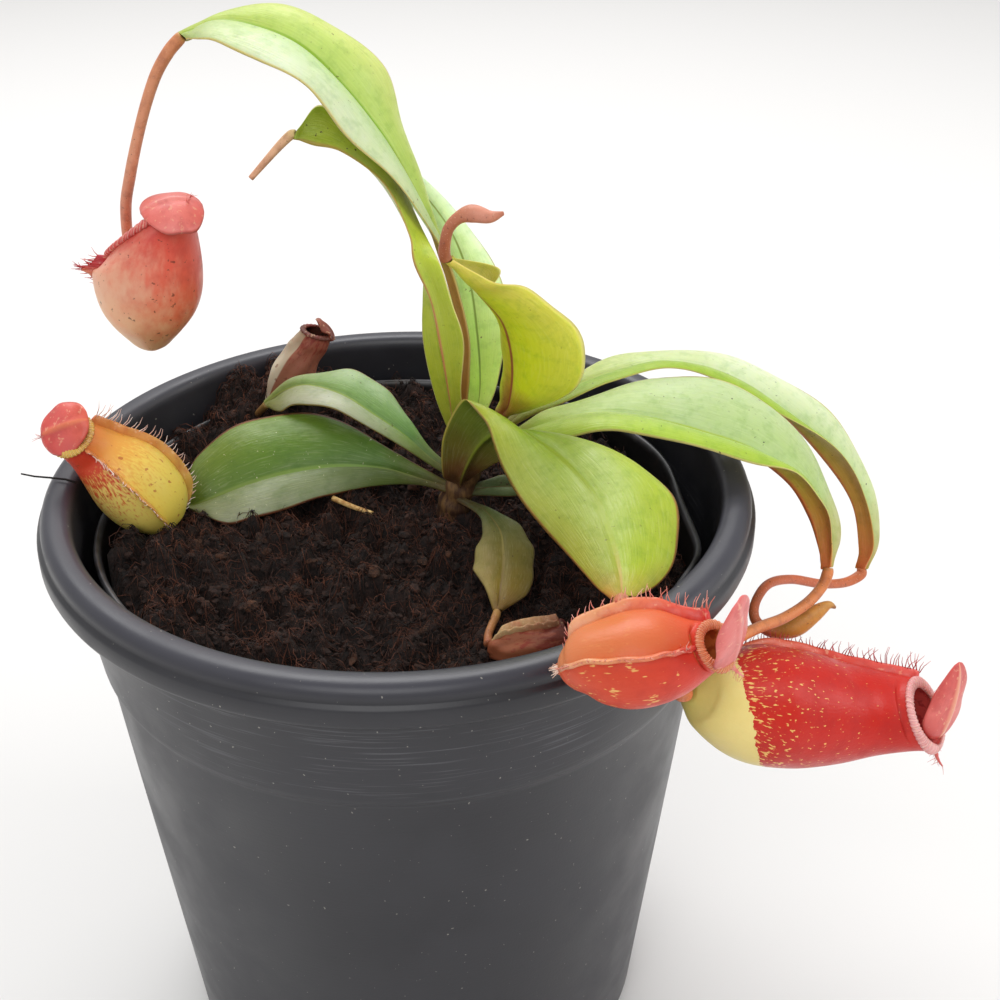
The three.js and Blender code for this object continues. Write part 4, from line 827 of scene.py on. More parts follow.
ORANGE = "0 b88240 0.08 dc8446 0.6 e08850 1 dc7446"
TENDRILS = {
    "tall": ("0 c8904a 0.1 d88a5c 0.5 e09a78 0.8 dc7c5c 1 dc7a60", [
        (-35, 29, 177, 0.9), (-35.7, 29, 176.4, 1.05), (-37.6, 29, 174.4, 1.05), (-40, 29, 170.8, 1),
        (-42.2, 28.4, 165.8, 0.95), (-44.4, 28.4, 159.8, 0.95), (-46.6, 29.6, 153.4, 1),
        (-49, 33, 146.2, 1), (-50.2, 36.4, 137, 1), (-49.4, 36.4, 128.2, 1), (-47.8, 33, 122.6, 1),
        (-46.4, 28.8, 121.8, 1.1),
    ]),
    "upright": ("0 dcc47c 0.4 f0c096 1 f0b490", [
        (-17, 25, 162, 0.7), (-17.8, 25.2, 161.8, 0.8), (-19.4, 25.2, 160.4, 0.75),
        (-21.4, 24.8, 158.4, 0.65), (-25, 24.4, 154.6, 0.5),
    ]),
    "rear": (ORANGE, [
        (-3, 39, 155, 0.6), (-3.6, 39.4, 155.9, 0.7), (-5, 40, 158, 0.6), (-5.5, 40.5, 160.3, 0.5),
        (-5, 41, 162, 0.4),
    ]),
    "young": ("0 a8653a 0.3 b0623f 0.6 c47a5a 0.8 d89078 1 c87a5a", [
        (9, -9.5, 153.5, 0.9), (8.7, -9.7, 154.4, 0.95), (8.9, -10.5, 156.7, 0.85),
        (9.5, -11, 159, 0.85), (11, -11.5, 160.8, 0.95), (13, -12, 161.6, 1.35),
        (15.5, -12.5, 161.3, 0.95), (17.5, -13, 162, 0.3),
    ]),
    "right": (ORANGE, [
        (73.5, -4.5, 95, 0.9), (73.4, -5.1, 94.2, 1), (72.4, -6.4, 92.4, 0.95),
        (69.5, -9.5, 91.2, 0.95), (64.7, -14, 91.2, 0.95), (59.5, -20, 93.6, 0.95),
        (54.6, -26, 95.6, 1), (49.4, -32, 97, 1), (45.6, -36.2, 95.6, 1.05), (45, -36.6, 93, 1.15),
        (45.9, -34.8, 91.5, 1.3),
    ]),
    "far_right": ("0 c9703c 0.3 cf6a40 0.62 d2703f 0.72 e0a04a 0.9 dfa552 1 9a6a3c", [
        (85, 15, 82, 0.9), (84.7, 14.4, 81, 1), (81.5, 12.5, 80.6, 0.9), (76, 8.5, 83, 0.85),
        (69.5, 4, 87, 0.85), (64.4, -1, 89.4, 0.85), (61.6, -5, 88.4, 0.85), (61.2, -7.5, 86.6, 0.9),
        (63, -8.8, 85.2, 1), (65.2, -9, 85, 1.4), (68, -9, 86, 1.9), (71, -8.6, 88.2, 1.5),
        (73.4, -8.2, 89.8, 0.8), (74.8, -8, 89.2, 0.25),
    ]),
    "front": ("0 c0904a 0.2 c2784f 1 cf6f4a", [
        (34.6, -42, 114.4, 1.1), (34.4, -43, 114.4, 1.3), (33.6, -46, 114.6, 1),
        (32.2, -48.6, 114.2, 0.9), (30.4, -50.6, 113.2, 0.85), (28.2, -52.4, 112.1, 0.8),
        (26.4, -54.2, 111.6, 0.8), (25.2, -55.7, 112.2, 0.9),
    ]),
    "left_low": ("0 8a6a3c 1 a0633f", [
        (-38.4, 8, 100.1, 0.45), (-39.2, 6.8, 100.7, 0.5), (-39.3, 5.6, 100.6, 0.5),
        (-39.5, 4, 100.6, 0.5), (-39.4, 2.6, 100.6, 0.5),
    ]),
    "back_left": ("0 8f7438 1 8a5a38", [
        (-26.5, 29, 109.5, 0.7), (-27, 29.8, 108.7, 0.75), (-28.2, 31.8, 106.8, 0.65),
        (-29.2, 34, 105, 0.65), (-28.9, 35.6, 104.3, 0.75), (-28.2, 36, 104.6, 0.85),
    ]),
    "withered": ("0 b08a48 1 a8603c", [
        (16.5, -25.5, 100.6, 0.6), (16.4, -26.4, 100.5, 0.7), (15.8, -28.6, 100.4, 0.65),
        (15.2, -31, 100.1, 0.65), (15.2, -33.2, 99.9, 0.75),
    ]),
}
for name, (ramp, stations) in TENDRILS.items():
    stalk = tube(f"tendril_stalk_{name}", stations, 14, 7)
    fit(stalk, tendril_finish(f"tendril_{name}_skin", ramp), f"tendril_{name}")

# ---- Right pitcher ----------------------------------------------------------------------------
# Every pitcher is a hollow waxy cup with a ribbed lip rolled over its mouth, two fringed wings down
# its front, and a lid and a small spur at the back of the mouth. The largest one lies almost level
# outside the pot, held by the right leaf's tendril: red over a cream foot, with pale flecks.
CUP_OUTER, CUP_LIP, CUP_INNER = 66, 8, 34
CUP_ROWS = CUP_OUTER + CUP_LIP + CUP_INNER
CUP_FLOOR = 0.12


def cup_point(frames, tilt, t, angle, out=0.0, up=0.0):
    """A point on the cup's wall at the share t of its height, or out and up from there."""
    at = min(max(t, 0), 1) * (len(frames) - 1)
    i = min(int(at), len(frames) - 2)
    p, tangent, side, across, r = [a + (b - a) * (at - i) for a, b in zip(frames[i], frames[i + 1])]
    slope = -tilt * r * math.cos(angle) * ease(0.55, 1, t)
    r += out
    return p + side * (r * math.cos(angle)) + across * (r * math.sin(angle)) + tangent * (slope + up)


def cup_way(frames, tilt, t, angle, step):
    """The way up the cup's wall."""
    return cup_point(frames, tilt, min(1, t + step), angle) - cup_point(frames, tilt, t - step, angle)


def cup(name, frames, tilt, wall=0.7, wrinkle=0.1):
    """The hollow cup: up the outside, over the edge and down the inside. Its front is at U 0.5."""
    def place(u, v):
        row = round(v * CUP_ROWS)
        angle = (u - 0.5) * 2 * math.pi
        if row == 0:
            return frames[0][0]
        if row == CUP_ROWS:
            return cup_point(frames, 0, CUP_FLOOR, 0, -frames[int(CUP_FLOOR * (len(frames) - 1))][4])
        if row <= CUP_OUTER:
            t = (row - 1) / (CUP_OUTER - 1)
            lumps = wrinkle * noise.noise(Vector((math.cos(angle) * 1.7, math.sin(angle) * 1.7, t * 5)))
            return cup_point(frames, tilt, t, angle, lumps * ease(0, 0.15, t) * ease(1, 0.85, t))
        if row <= CUP_OUTER + CUP_LIP:
            turn = (row - CUP_OUTER) / CUP_LIP * math.pi
            return cup_point(frames, tilt, 1, angle, -wall / 2 * (1 - math.cos(turn)), 0.4 * math.sin(turn))
        t = 1 - (row - CUP_OUTER - CUP_LIP) / CUP_INNER * (1 - CUP_FLOOR)
        return cup_point(frames, tilt, t, angle, -wall)
    return rolled(name, 96, CUP_ROWS, place)


def mouth_roll(name, frames, tilt, lip, ribs):
    """The ribbed lip, a roll round the mouth that is wider at the sides and pinched at the back."""
    def place(u, v):
        angle = (u - 0.5) * 2 * math.pi
        turn = v * 2 * math.pi
        wide = lip * (0.62 + 0.38 * ease(math.pi, 2.3, abs(angle)))
        ridge = 1 + 0.13 * math.cos(ribs * angle)
        out = -0.25 + 0.95 * wide * ridge * math.cos(turn)
        up = 0.32 + 0.62 * wide * ridge * math.sin(turn) - 0.25 * wide * math.cos(turn)
        return cup_point(frames, tilt, 1, angle, out, up)
    return rolled(name, ribs * 4, 18, place)


def lid_root(frames, tilt, up):
    p, tangent, side, _, r = frames[-1]
    return p - side * (r + 0.2) + tangent * (tilt * r + 0.2) + tangent * up


def lid(name, frames, tilt, length, width, lift, reach, dome, turn, tip=0.0, wave=0.25, yaw=0.0, up=0.0):
    """The lid: a domed oval with a ridge down its middle, rooted at the back of the mouth."""
    _, tangent, side, across, _ = frames[-1]
    root = lid_root(frames, tilt, up)
    side, across = [Matrix.Rotation(yaw, 3, tangent) @ way for way in (side, across)]
    along = (tangent * math.sin(lift) + side * math.cos(lift)).normalized()
    across = Matrix.Rotation(turn, 3, along) @ across
    normal = across.cross(along).normalized()
    if normal.dot(tangent) < 0:
        normal = -normal

    def place(u, v):
        x, y = 2 * v - 1, 4 * abs(u - 0.5) - 1
        share = math.sqrt(max(0, 1 - x * x)) * (1 - tip * ease(-0.2, 1, x))
        share *= 1 + 0.08 * ease(0.2, -0.7, x)
        thick = 0.34 * math.sqrt(max(0, 1 - y ** 6)) * min(1, 9 * min(v, 1 - v)) ** 0.5
        sag = dome * (-x * x * 0.6 - (y * share) ** 2) + wave * y * y * share * math.sin(x * 6 + 2 * y)
        ridge = 0.35 * bump(y * share * width / 2, 0.6) * (1 - x * x)
        rise = (thick + ridge if u < 0.5 else -thick) + sag
        return root + along * (reach + length * v) + across * (width / 2 * y * share) + normal * rise
    return rolled(name, 64, 40, place)


SPUR_HAIRS, FOOT_HAIRS = 26, 26


def spur(name, frames, tilt, length, drop, seed, lid_up=None):
    """The hairy spur behind the lid's root, with a short stalk where the lid is raised."""
    p, tangent, side, _, r = frames[-1]
    root = p - side * (r + 0.1) + tangent * (tilt * r - 0.3)
    aim = (-side + tangent * drop).normalized()
    points = [root + aim * (length * k / 5) + tangent * (0.1 * k * k * length / 5) for k in range(6)]
    runs = [(points, 0.5, 0.12)]
    if lid_up:
        base, far = p - side * (r - 0.3) + tangent * (tilt * r - 0.4), lid_root(frames, tilt, lid_up)
        runs.append(([base, base.lerp(far, 0.5) - side * 0.5, far], 0.9, 0.6))
    chance = random.Random(seed)
    for _ in range(SPUR_HAIRS):
        base = points[chance.randint(0, 5)]
        way = Vector([chance.uniform(-1, 1) for _ in range(3)]) + aim * 1.2
        far = base + way.normalized() * chance.uniform(0.7, 1.9)
        runs.append(([base, (base + far) / 2 + Vector((0, 0, 0.1)), far], 0.06, 0.02))
    return strands(name, runs, 6)


def wing_edge(frames, tilt, angle, height, start, t, out=0.0):
    grown = height * ease(0, 0.25, (t - start) / (1 - start))
    return cup_point(frames, tilt, t, angle, grown + out)


def wings(name, frames, tilt, angles, height, start, thick=0.3):
    """The two thin wings down the front of a cup, as one piece."""
    strips = []
    for angle in angles:
        def place(u, v, angle=angle):
            t, at_end = start + (1 - start) * v, v in (0, 1)
            foot = cup_point(frames, tilt, t, angle, -0.5)
            edge = wing_edge(frames, tilt, angle, height, start, t)
            along = cup_way(frames, tilt, t, angle, 0.02)
            sideways = along.cross(edge - foot).normalized()
            turn = u * 2 * math.pi
            if at_end:
                return foot.lerp(edge, 0.5)
            frill = 0.18 * math.sin(v * 41) * (1 + math.cos(turn)) / 2
            return foot.lerp(edge, (1 + math.cos(turn)) / 2) + sideways * (thick * math.sin(turn) + frill)
        strips.append(rolled(name, 12, 90, place))
    for strip in strips:
        strip.select_set(True)
    bpy.context.view_layer.objects.active = strips[0]
    bpy.ops.object.join()
    return bpy.context.object


HAIR_DROOP = 0.2


def fringe(name, frames, tilt, angles, height, start, count, short, long, seed):
    """The hairs along both wings, longest near the mouth."""
    chance, runs = random.Random(seed), []
    for angle in angles:
        for k in range(count):
            t = start + (1 - start) * (k + chance.uniform(0.1, 0.9)) / count
            foot = wing_edge(frames, tilt, angle, height, start, t, -0.2)
            edge = wing_edge(frames, tilt, angle, height, start, t, 0.3)
            ahead = cup_way(frames, tilt, t, angle, 0.03).normalized()
            way = (edge - foot).normalized() + ahead * chance.uniform(-0.25, 0.6)
            way += Vector([chance.uniform(-0.25, 0.25) for _ in range(3)])
            size = (short + (long - short) * ease(0.2, 1, t)) * chance.uniform(0.55, 1.15)
            tip = foot + way.normalized() * (size + 0.3)
            bend = ahead * (HAIR_DROOP * size)
            middle = (foot + tip) / 2 - bend * 0.5
            runs.append(([foot, middle, tip], 0.1, 0.03))
    return strands(name, runs, 5)


def hair_finish(name, root_colour, tip_colour):
    skin, t, shader, spot = finish(name, 0.55)
    colour = tint(t, between(t, grain(t, spot, 500.0, 2.0), 0.35, 0.65), root_colour, tip_colour)
    surface(t, shader, colour, grain(t, spot, 3000.0, 1.0), 0.02, 0.4)
    return skin


INSIDE_FROM, INSIDE_TO = 0.645, 0.665


def cup_finish(name, girth, length, way, low, high, base, red, cover, fleck, flecks, panel, panel_share,
               panel_mix, inside, gloss=0.36, fleck_size=0.36, dots=0.0, streak=0.35, soft_edge=0.07,
               fine=1.7, dot_colour="#6a3424"):
    """Cup skin, in layers from the foot up. base and flecks run with the height; cover, the share of
    the wall that red covers, runs from low to high (mm) along the direction way. The panel is the
    strip between the wings. girth and length (mm) set the scale of streaks and flecks."""
    skin, t, shader, spot = finish(name, gloss, 0.08)
    fleshy(shader, 0.26, 0.12, (1.0, 0.35, 0.2), 1.2, 0.35)
    round_it, up = round_and_along(t)
    climb = calc(t, "DIVIDE", up, CUP_OUTER / CUP_ROWS, True)
    mm = add(t, "CombineXYZ", {0: times(t, round_it, girth), 1: times(t, up, length * 1.6)}).outputs[0]
    soft = grain(t, spot, 260.0, 4.0, 0.6)
    wander = times(t, minus(t, soft, 0.5), 0.09)
    fall = add(t, "VectorMath", {0: spot, 1: way}, operation="DOT_PRODUCT").outputs["Value"]
    fall = add(t, "MapRange", {0: fall, 1: low * MM, 2: high * MM}).outputs[0]
    colour = stops(t, plus(t, climb, wander, True), base)
    streaks = grain(t, stretched(t, mm, (fine, streak * fine, 1)), 1.0, 3.0, 0.6)
    share = stops(t, plus(t, fall, wander, True), cover)
    share = add(t, "SeparateColor", {0: share}).outputs[0]
    wet = between(t, plus(t, streaks, minus(t, share, 0.5)), 0.5 - soft_edge, 0.5 + soft_edge)
    wet = calc(t, "MAXIMUM", wet, between(t, share, 0.9, 0.98))
    wet = times(t, wet, between(t, share, 0.02, 0.06))
    red_now = stops(t, plus(t, climb, wander, True), red)
    red_now = tint(t, between(t, soft, 0.42, 0.7, 0, 0.4), red_now, tint(t, 0.5, red_now, "#8f1620"))
    colour = tint(t, wet, colour, red_now)
    front = times(t, calc(t, "ABSOLUTE", minus(t, round_it, 0.5)), 2)
    between_wings = between(t, front, panel_share + 0.012, panel_share - 0.012)
    colour = tint(t, times(t, between_wings, panel_mix), colour, stops(t, climb, panel))
    sparks = grain(t, stretched(t, mm, (1.0 / fleck_size, 0.42 / fleck_size, 1)), 1.0, 2.0, 0.55)
    amount = add(t, "SeparateColor", {0: stops(t, fall, flecks)}).outputs[0]
    lit = between(t, plus(t, sparks, times(t, minus(t, amount, 0.5), 0.4)), 0.53, 0.6)
    lit = times(t, times(t, lit, between(t, amount, 0.02, 0.12)), wet)
    lit = times(t, lit, minus(t, 1.0, times(t, between_wings, panel_mix)))
    colour = tint(t, times(t, lit, 0.85), colour, fleck)
    if dots:
        specks = between(t, grain(t, spot, 900.0, 2.0, 0.5), 0.66, 0.72)
        colour = tint(t, times(t, specks, dots), colour, dot_colour)
    within = between(t, up, INSIDE_FROM, INSIDE_TO)
    spots = between(t, grain(t, spot, 700.0, 2.0), 0.5, 0.62)
    colour = tint(t, within, colour, tint(t, times(t, spots, 0.7), *inside))
    dull = between(t, soft, 0.35, 0.7, gloss - 0.05, gloss + 0.12)
    height = plus(t, times(t, streaks, 0.7), times(t, grain(t, spot, 2600.0, 2.0), 0.35))
    surface(t, shader, colour, plus(t, height, times(t, soft, 0.8)), 0.14, 0.6, dull)
    return skin


def trim_finish(name, ramp, gloss=0.38, ribs=False, line=0.0, line_colour="#ffffff"):
    """Skin of a lip, a lid or a pair of wings: a ramp along V, with a paler or darker line down U 0.25
    and 0.75 (a lid's middle), mottling, down and, on a lip, fine ribs."""
    skin, t, shader, spot = finish(name, gloss, 0.08)
    fleshy(shader, 0.4, 0.12, (1.0, 0.35, 0.2), 1.0)
    round_it, along = round_and_along(t)
    soft = grain(t, spot, 330.0, 4.0, 0.6)
    colour = stops(t, plus(t, along, times(t, minus(t, soft, 0.5), 0.3), True), ramp)
    colour = tint(t, between(t, soft, 0.45, 0.7, 0, 0.35), colour, "#a8282c")
    half = calc(t, "ABSOLUTE", minus(t, calc(t, "ABSOLUTE", minus(t, round_it, 0.5)), 0.25))
    colour = tint(t, times(t, between(t, half, 0.05, 0.005), line), colour, line_colour)
    pale = between(t, grain(t, spot, 1100.0, 2.0), 0.6, 0.7)
    colour = tint(t, times(t, pale, 0.35), colour, "#f2c9a0")
    height = plus(t, soft, times(t, grain(t, spot, 2600.0, 2.0), 0.4))
    if ribs:
        wavy = calc(t, "SINE", times(t, round_it, 2 * math.pi * 88))
        colour = tint(t, between(t, wavy, 0.2, 1, 0, 0.3), colour, "#fbe0d0")
        height = plus(t, height, times(t, wavy, 0.6))
    surface(t, shader, colour, height, 0.12, 0.6)
    return skin


def grow(pitcher, part, measures, looks, **more):
    """Makes one part of a pitcher with its skin. A pitcher is its name, slot, frames and mouth's tilt."""
    which, slot, frames, tilt = pitcher
    make, skin = {
        "cup": (cup, cup_finish), "lip": (mouth_roll, trim_finish), "lid": (lid, trim_finish),
        "spur": (spur, hair_finish), "wings": (wings, trim_finish), "fringe": (fringe, hair_finish),
    }[part]
    piece = make(f"pitcher_{part}_{which}", frames, tilt, *measures)
    node = f"pitcher_{which}" if part == "cup" else None
    fit(piece, skin(f"{which}_{part.rstrip('s')}_skin", *looks, **more), node)


right = "right", "pitcher_red", carried([
    (46.7, -33.3, 90.6, 1.5), (48.4, -32.2, 89.6, 4), (51.3, -31, 87.8, 6.4), (57.9, -27, 83.5, 9.6),
    (65.2, -24, 80, 9.9), (72.6, -22, 77.8, 8.9), (79.6, -21.4, 77.3, 7.4), (85.2, -22, 77.5, 6.3),
    (88, -23.4, 78, 5.6)], 80, (0, -0.1, 1)), 0.42
wing = ((-0.7, -1.75), 1.5, 0.3)
grow(right, "cup", (), (
    58, 54, (1.0, 0.0, 0.23), 70.0, 112.0, "0 c8b45a 0.3 f0d98a 0.6 e8cf7a 1 e8a070",
    "0 ca2a18 0.5 c41e10 0.8 c42014 1 d0342a", "0 000000 0.155 000000 0.165 ffffff 1 ffffff",
    "#f2c870", "0 000000 0.16 b8b8b8 0.3 969696 0.55 787878 0.8 505050 1 202020",
    "0 d8c070 0.35 de5a38 0.7 e04a34 1 e05a4c", 0.214, 0.0, ("#d8605a", "#a83038")), fleck_size=0.5)
grow(right, "lip", (0.95, 48), ("0 e9a0a0 0.5 efb4ae 1 e9a0a0", 0.32, True))
grow(right, "lid", (14.6, 11, 0.2, 1, 1.3, -0.36, 0.3, 0.25, -0.2), ("0 cc4a46 0.4 de6a62 1 cc4e4a",),
     line=0.75, line_colour="#f0b090")
grow(right, "spur", (4.2, -0.3, 21), ("#d8605a", "#e88a80"))
grow(right, "wings", wing, ("0 d8704a 0.5 d94a38 1 e0605a",))
grow(right, "fringe", (*wing, 62, 0.7, 2.7, 22), ("#a01822", "#c8343a"))

# ---- Front pitcher ----------------------------------------------------------------------------
# The nearest pitcher rests on the rim at the front right: an orange panel between broad wings, a
# red belly with yellow spots, and a pink lid that stands up at its right end.
front = "front", "pitcher_red", carried([
    (25.5, -57.1, 113.4, 1.3), (27, -57.7, 114.2, 3.4), (29.4, -58, 115.1, 5.1), (34.5, -58.1, 115.5, 6.6),
    (40, -57.4, 116.1, 6), (44.2, -57.4, 117.2, 3.8), (45.8, -58.4, 118, 3.2)], 70, (0, -0.25, 0.97)), 0.35
wing = ((-0.785, 0.785), 1.7, 0.08)
grow(front, "cup", (), (
    38, 25, (1.0, 0.0, 0.0), 20.0, 50.0, "0 e0a070 0.5 d86a50 1 e07a60",
    "0 d86444 0.4 d64c30 0.75 d23c2c 1 d84e40", "0 606060 0.2 ffffff 1 ffffff",
    "#f0c070", "0 303030 0.3 9c9c9c 0.6 8c8c8c 0.85 101010 1 000000",
    "0 dc9468 0.4 d67a48 0.75 d66238 1 d44030", 0.25, 0.9, ("#e08a48", "#b04c28")), fleck_size=0.6)
grow(front, "lip", (0.7, 36), ("0 dc7a48 0.5 e08a50 1 dc6a48", 0.32, True))
grow(front, "lid", (13.6, 8.6, 0.5, -0.6, 0.9, -0.2), ("0 d6605a 0.5 e27a74 1 de706c",),
     line=0.4, line_colour="#f0a8a0")
grow(front, "spur", (3.0, -0.3, 31), ("#e0706a", "#f0a090"))
grow(front, "wings", (*wing, 0.4), ("0 e8b090 0.3 e09868 0.7 dc5a44 1 d84440",))
grow(front, "fringe", (*wing, 44, 0.9, 2.2, 32), ("#d87868", "#ecb0a0"))
tassel, chance = [], random.Random(33)
foot = front[2][0][0]
for _ in range(FOOT_HAIRS):
    aim = Vector((-1, chance.uniform(-0.7, 0.7), chance.uniform(-0.9, 0.5))).normalized()
    far = foot + aim * chance.uniform(0.8, 2.0)
    tassel.append(([foot + aim * 0.6, (foot + far) / 2, far], 0.12, 0.04))
fit(strands("pitcher_foot_hairs_front", tassel, 5),
    hair_finish("front_foot_hair_skin", "#e8b8a0", "#f6dccb"))

# ---- Tall leaf's pitcher ----------------------------------------------------------------------
# It hangs free at the left from the longest tendril, seen from behind: a salmon cup that turns
# orange at the bottom and cream with brown specks at the left, under a domed pink lid.
tall = "tall", "pitcher_orange", carried([
    (-46, 27.1, 122.9, 1.3), (-45.4, 25.2, 126.4, 4.6), (-44.8, 24, 131.8, 8.3), (-44.2, 23.6, 137.4, 9.4),
    (-43.8, 24, 142, 8.4), (-43.4, 24.2, 145.4, 6.4)], 70, (-0.85, 0.5, 0)), 0.9
wing, lid_up = ((-0.4, 0.4), 2.3, 0.5), 1.2
# The foot's pale tones are partly the cup's own colour and partly painted light, made brighter where the
# cup faces down into shade.
grow(tall, "cup", (), (
    54, 26, (0.93, 0.1, 0.25), -16.0, 6.0, "0 fcc47c 0.25 f8c690 0.6 ecb696 1 e08876",
    "0 f8a058 0.3 f08458 0.7 e45e4a 1 d23c3a", "0 303030 0.25 6c6c6c 0.5 b0b0b0 0.75 e0e0e0 1 ffffff",
    "#e8b070", "0 000000 1 202020", "0 d87a40 0.4 ddb088 1 cf6a5c", 0.083, 0.5, ("#d8906a", "#a8483c")),
     dots=0.75, streak=0.8, soft_edge=0.45, fine=0.5)
grow(tall, "lip", (1.15, 44), ("0 d0504a 0.5 dc6a60 1 d0504a", 0.34, True))
grow(tall, "lid", (10.6, 12.8, -0.14, -3.6, 2.9, -0.21, 0, 0.25, 0.83, lid_up),
     ("0 e0645c 0.5 e88078 1 e06c62",), line=0.25, line_colour="#eaa09a")
grow(tall, "spur", (2.2, 0.6, 41, lid_up), ("#d8605a", "#e88a80"))
grow(tall, "wings", wing, ("0 d8906a 0.5 c8504a 1 b83440",))
grow(tall, "fringe", (*wing, 26, 0.5, 2.2, 42), ("#b82c38", "#d86a60"))

# ---- Left pitcher -----------------------------------------------------------------------------
# It stands on the mix at the left and leans out over the rim: yellow-green at the foot, streaked
# and then solid orange-red towards the mouth, which its red lid all but closes.
left = "left", "pitcher_orange", carried([
    (-39.8, 0, 100.8, 1.4), (-40.6, 0, 102.3, 4.2), (-42.6, 0, 105.8, 6.6), (-46.4, 0, 110.8, 6.9),
    (-50.8, -0.6, 116, 4.7), (-53.4, -2.8, 119.8, 3.6)], 70, (0.713, -0.404, 0.76)), 0.2
wing, lid_up = ((-0.785, 0.785), 1.5, 0.14), 2
# The foot and the panel are partly the cup's own colour and partly painted light, made brighter where the
# cup faces down into shade.
grow(left, "cup", (), (
    40, 24, (-0.575, -0.02, 0.818), 104.0, 129.0, "0 f4c864 0.2 f8e064 0.6 fadc78 1 f4c468",
    "0 e0643a 0.5 e0522c 1 e04a34",
    "0 202020 0.12 707070 0.28 969696 0.44 a8a8a8 0.58 b4b4b4 0.72 cacaca 0.86 ffffff 1 ffffff",
    "#f0c860", "0 202020 0.5 505050 0.8 101010 1 000000",
    "0 f2dc58 0.5 f0d45a 0.8 f0bc56 1 e8944a", 0.25, 0.72, ("#e0a050", "#b8502f")),
     dots=0.7, streak=0.42, soft_edge=0.14, fine=2.8, dot_colour="#b8522c")
grow(left, "lip", (0.75, 36), ("0 e0b040 0.5 e8c050 1 e0a040", 0.32, True))
grow(left, "lid", (9.6, 9, -0.12, -1, 0.9, 0.28, 0, 0.25, 0.16, lid_up),
     ("0 cf4a44 0.5 d9605a 1 d8604a",), line=0.5, line_colour="#e88a5a")
grow(left, "spur", (1.6, 0.6, 51, lid_up), ("#c84a40", "#d87868"))
grow(left, "wings", wing, ("0 c8ac4c 0.5 dca050 1 dc8a50",))
grow(left, "fringe", (*wing, 40, 0.8, 2.4, 52), ("#e8b8a8", "#fbe8e0"))

# ---- Dried pitchers ---------------------------------------------------------------------------
# Two old pitchers that have dried brown and shrunk: one behind the left leaves, one in front of the
# stem where the withered leaf's tendril lies on the mix.
dry = "back_left", "pitcher_dried", carried([
    (-27.4, 36.1, 105.5, 1), (-26, 36.2, 107, 2.4), (-23, 37, 111.4, 3.9), (-20, 38, 116, 3.5),
    (-17.6, 38.6, 119.6, 2.9)], 60, (-1, -0.3, 0.4)), 0.3
grow(dry, "cup", (0.5, 0.7), (
    22, 17, (0.0, 0.0, 1.0), 104.0, 120.0, "0 7a4a30 0.5 94604a 1 8a4a38",
    "0 6a3424 0.6 8a4534 1 7a3428", "0 606060 0.5 909090 1 c0c0c0", "#b89070", "0 404040 1 404040",
    "0 9a8a70 0.5 c8c0a8 1 a08a70", 0.2, 0.9, ("#4a2418", "#2a140e"), 0.6), dots=0.6)
grow(dry, "lip", (0.55, 24), ("0 5a2c20 1 6a3828", 0.6))
grow(dry, "lid", (5.4, 5, 0.35, -0.6, 0.5, 0, 0.1, 0.4), ("0 6a3024 1 8a4a38", 0.6),
     line=0.3, line_colour="#a06850")
dry = "withered", "pitcher_dried", carried([
    (15.6, -34, 99.9, 0.9), (16.8, -34.6, 100.2, 2.1), (20, -35, 100.8, 2.9), (24, -35, 101.8, 2.9),
    (27.4, -34.6, 103, 2.3)], 60, (0, 0.2, 1)), 0.3
grow(dry, "cup", (0.45, 0.5), (
    17, 13, (1.0, 0.0, 0.0), 14.0, 28.0, "0 8a4a30 0.5 9a5a3c 1 7a3a2a",
    "0 7a3424 0.6 8a3c2a 1 5a281c", "0 909090 0.5 b0b0b0 1 d0d0d0", "#b08060", "0 404040 1 404040",
    "0 b08a5a 0.5 a8804f 1 8a5038", 0.12, 0.7, ("#2a1410", "#180c08"), 0.55), dots=0.5)
grow(dry, "lip", (0.45, 20), ("0 4a2218 1 5a2c20", 0.6))
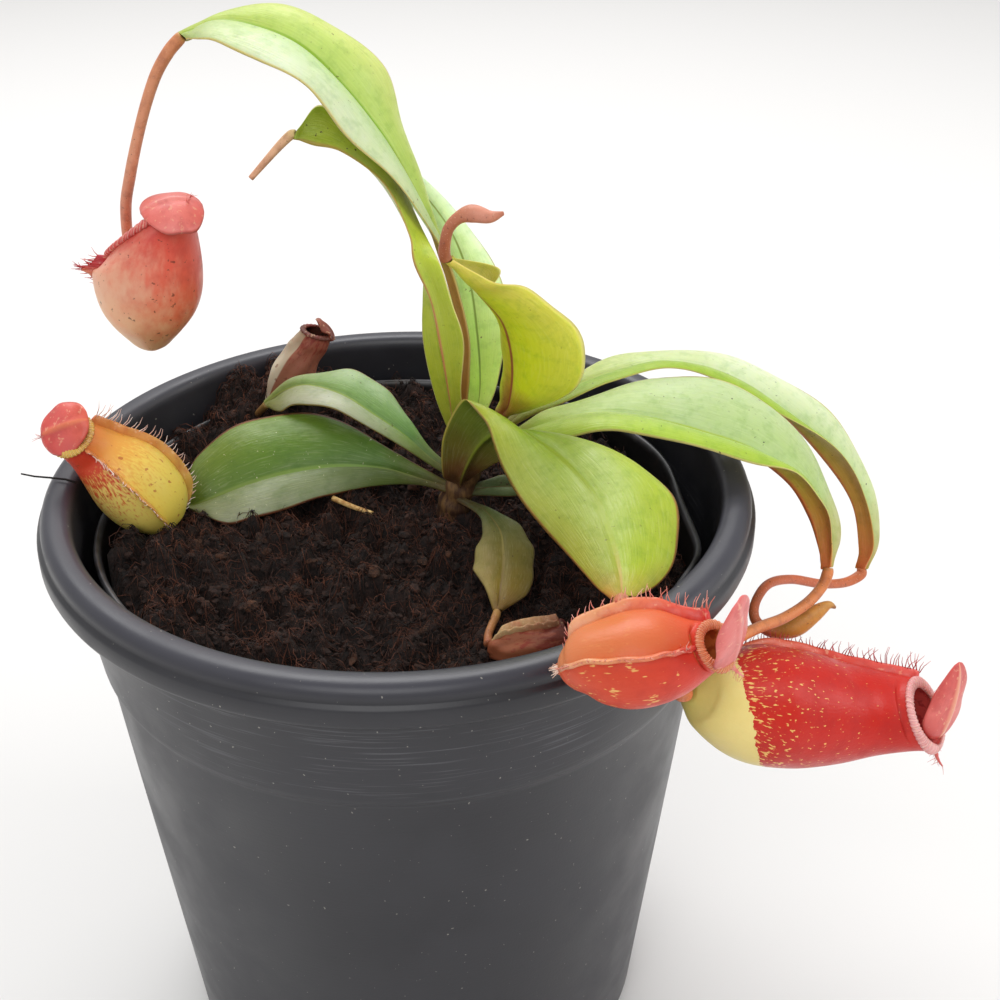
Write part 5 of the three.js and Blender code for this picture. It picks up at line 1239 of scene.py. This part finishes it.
grow(dry, "lid", (4.4, 4, 0.8, -0.7, 0.4, 0, 0.1, 0.3), ("0 5a2a20 1 7a4030", 0.6),
     line=0.3, line_colour="#8a5040")
grow(dry, "wings", ((-0.393, 0.393), 1.1, 0.15, 0.25), ("0 c8a878 0.5 b89468 1 8a5a40", 0.6))

# ---- Floor, light and camera ------------------------------------------------------------------
# A plain pale floor, one wide soft light overhead and behind, weaker ones at the front and at
# the right, and the camera above the pot's rim, looking down.
bpy.ops.mesh.primitive_plane_add(size=6)
floor = bpy.context.object
floor.name = floor.data.name = "studio_floor"
floor_paint, _, shader, _ = finish("studio_paint", 0.8)
shader.inputs["Base Color"].default_value = srgb("#e4e3e2")
floor.data.materials.append(floor_paint)

world = bpy.data.worlds.new("studio_air")
bpy.context.scene.world = world
world.use_nodes = True
sky = world.node_tree.nodes["Background"].inputs
sky[0].default_value, sky[1].default_value = (1.0, 0.995, 0.985, 1), 0.6


def softbox(name, place, aim, size, power):
    lamp = bpy.data.lights.new(name, "AREA")
    lamp.shape = "RECTANGLE"
    lamp.size, lamp.size_y = size
    lamp.energy = power
    holder = bpy.data.objects.new(name, lamp)
    bpy.context.collection.objects.link(holder)
    holder.location = place
    holder.rotation_euler = (Vector(aim) - Vector(place)).to_track_quat("-Z", "Y").to_euler()


softbox("overhead_light", (-0.15, 0.55, 0.95), (0, 0, 0.1), (0.9, 0.6), 8.0)
softbox("front_light", (-0.1, -0.85, 0.85), (0, 0, 0.1), (0.7, 0.6), 3.4)
softbox("right_light", (0.9, -0.1, 0.5), (0, 0, 0.1), (0.4, 0.6), 2.6)

lens = bpy.data.cameras.new("camera")
lens.lens, lens.sensor_width, lens.clip_start = 54, 36, 0.01
camera = bpy.data.objects.new("camera", lens)
bpy.context.collection.objects.link(camera)
CAMERA_PLACE, LOOK_DOWN = (0.017, -0.22065, 0.23737), 30.77
camera.location = CAMERA_PLACE
camera.rotation_euler = (math.radians(90 - LOOK_DOWN), 0, 0)
bpy.context.scene.camera = camera
bpy.context.scene.view_settings.view_transform = "Standard"
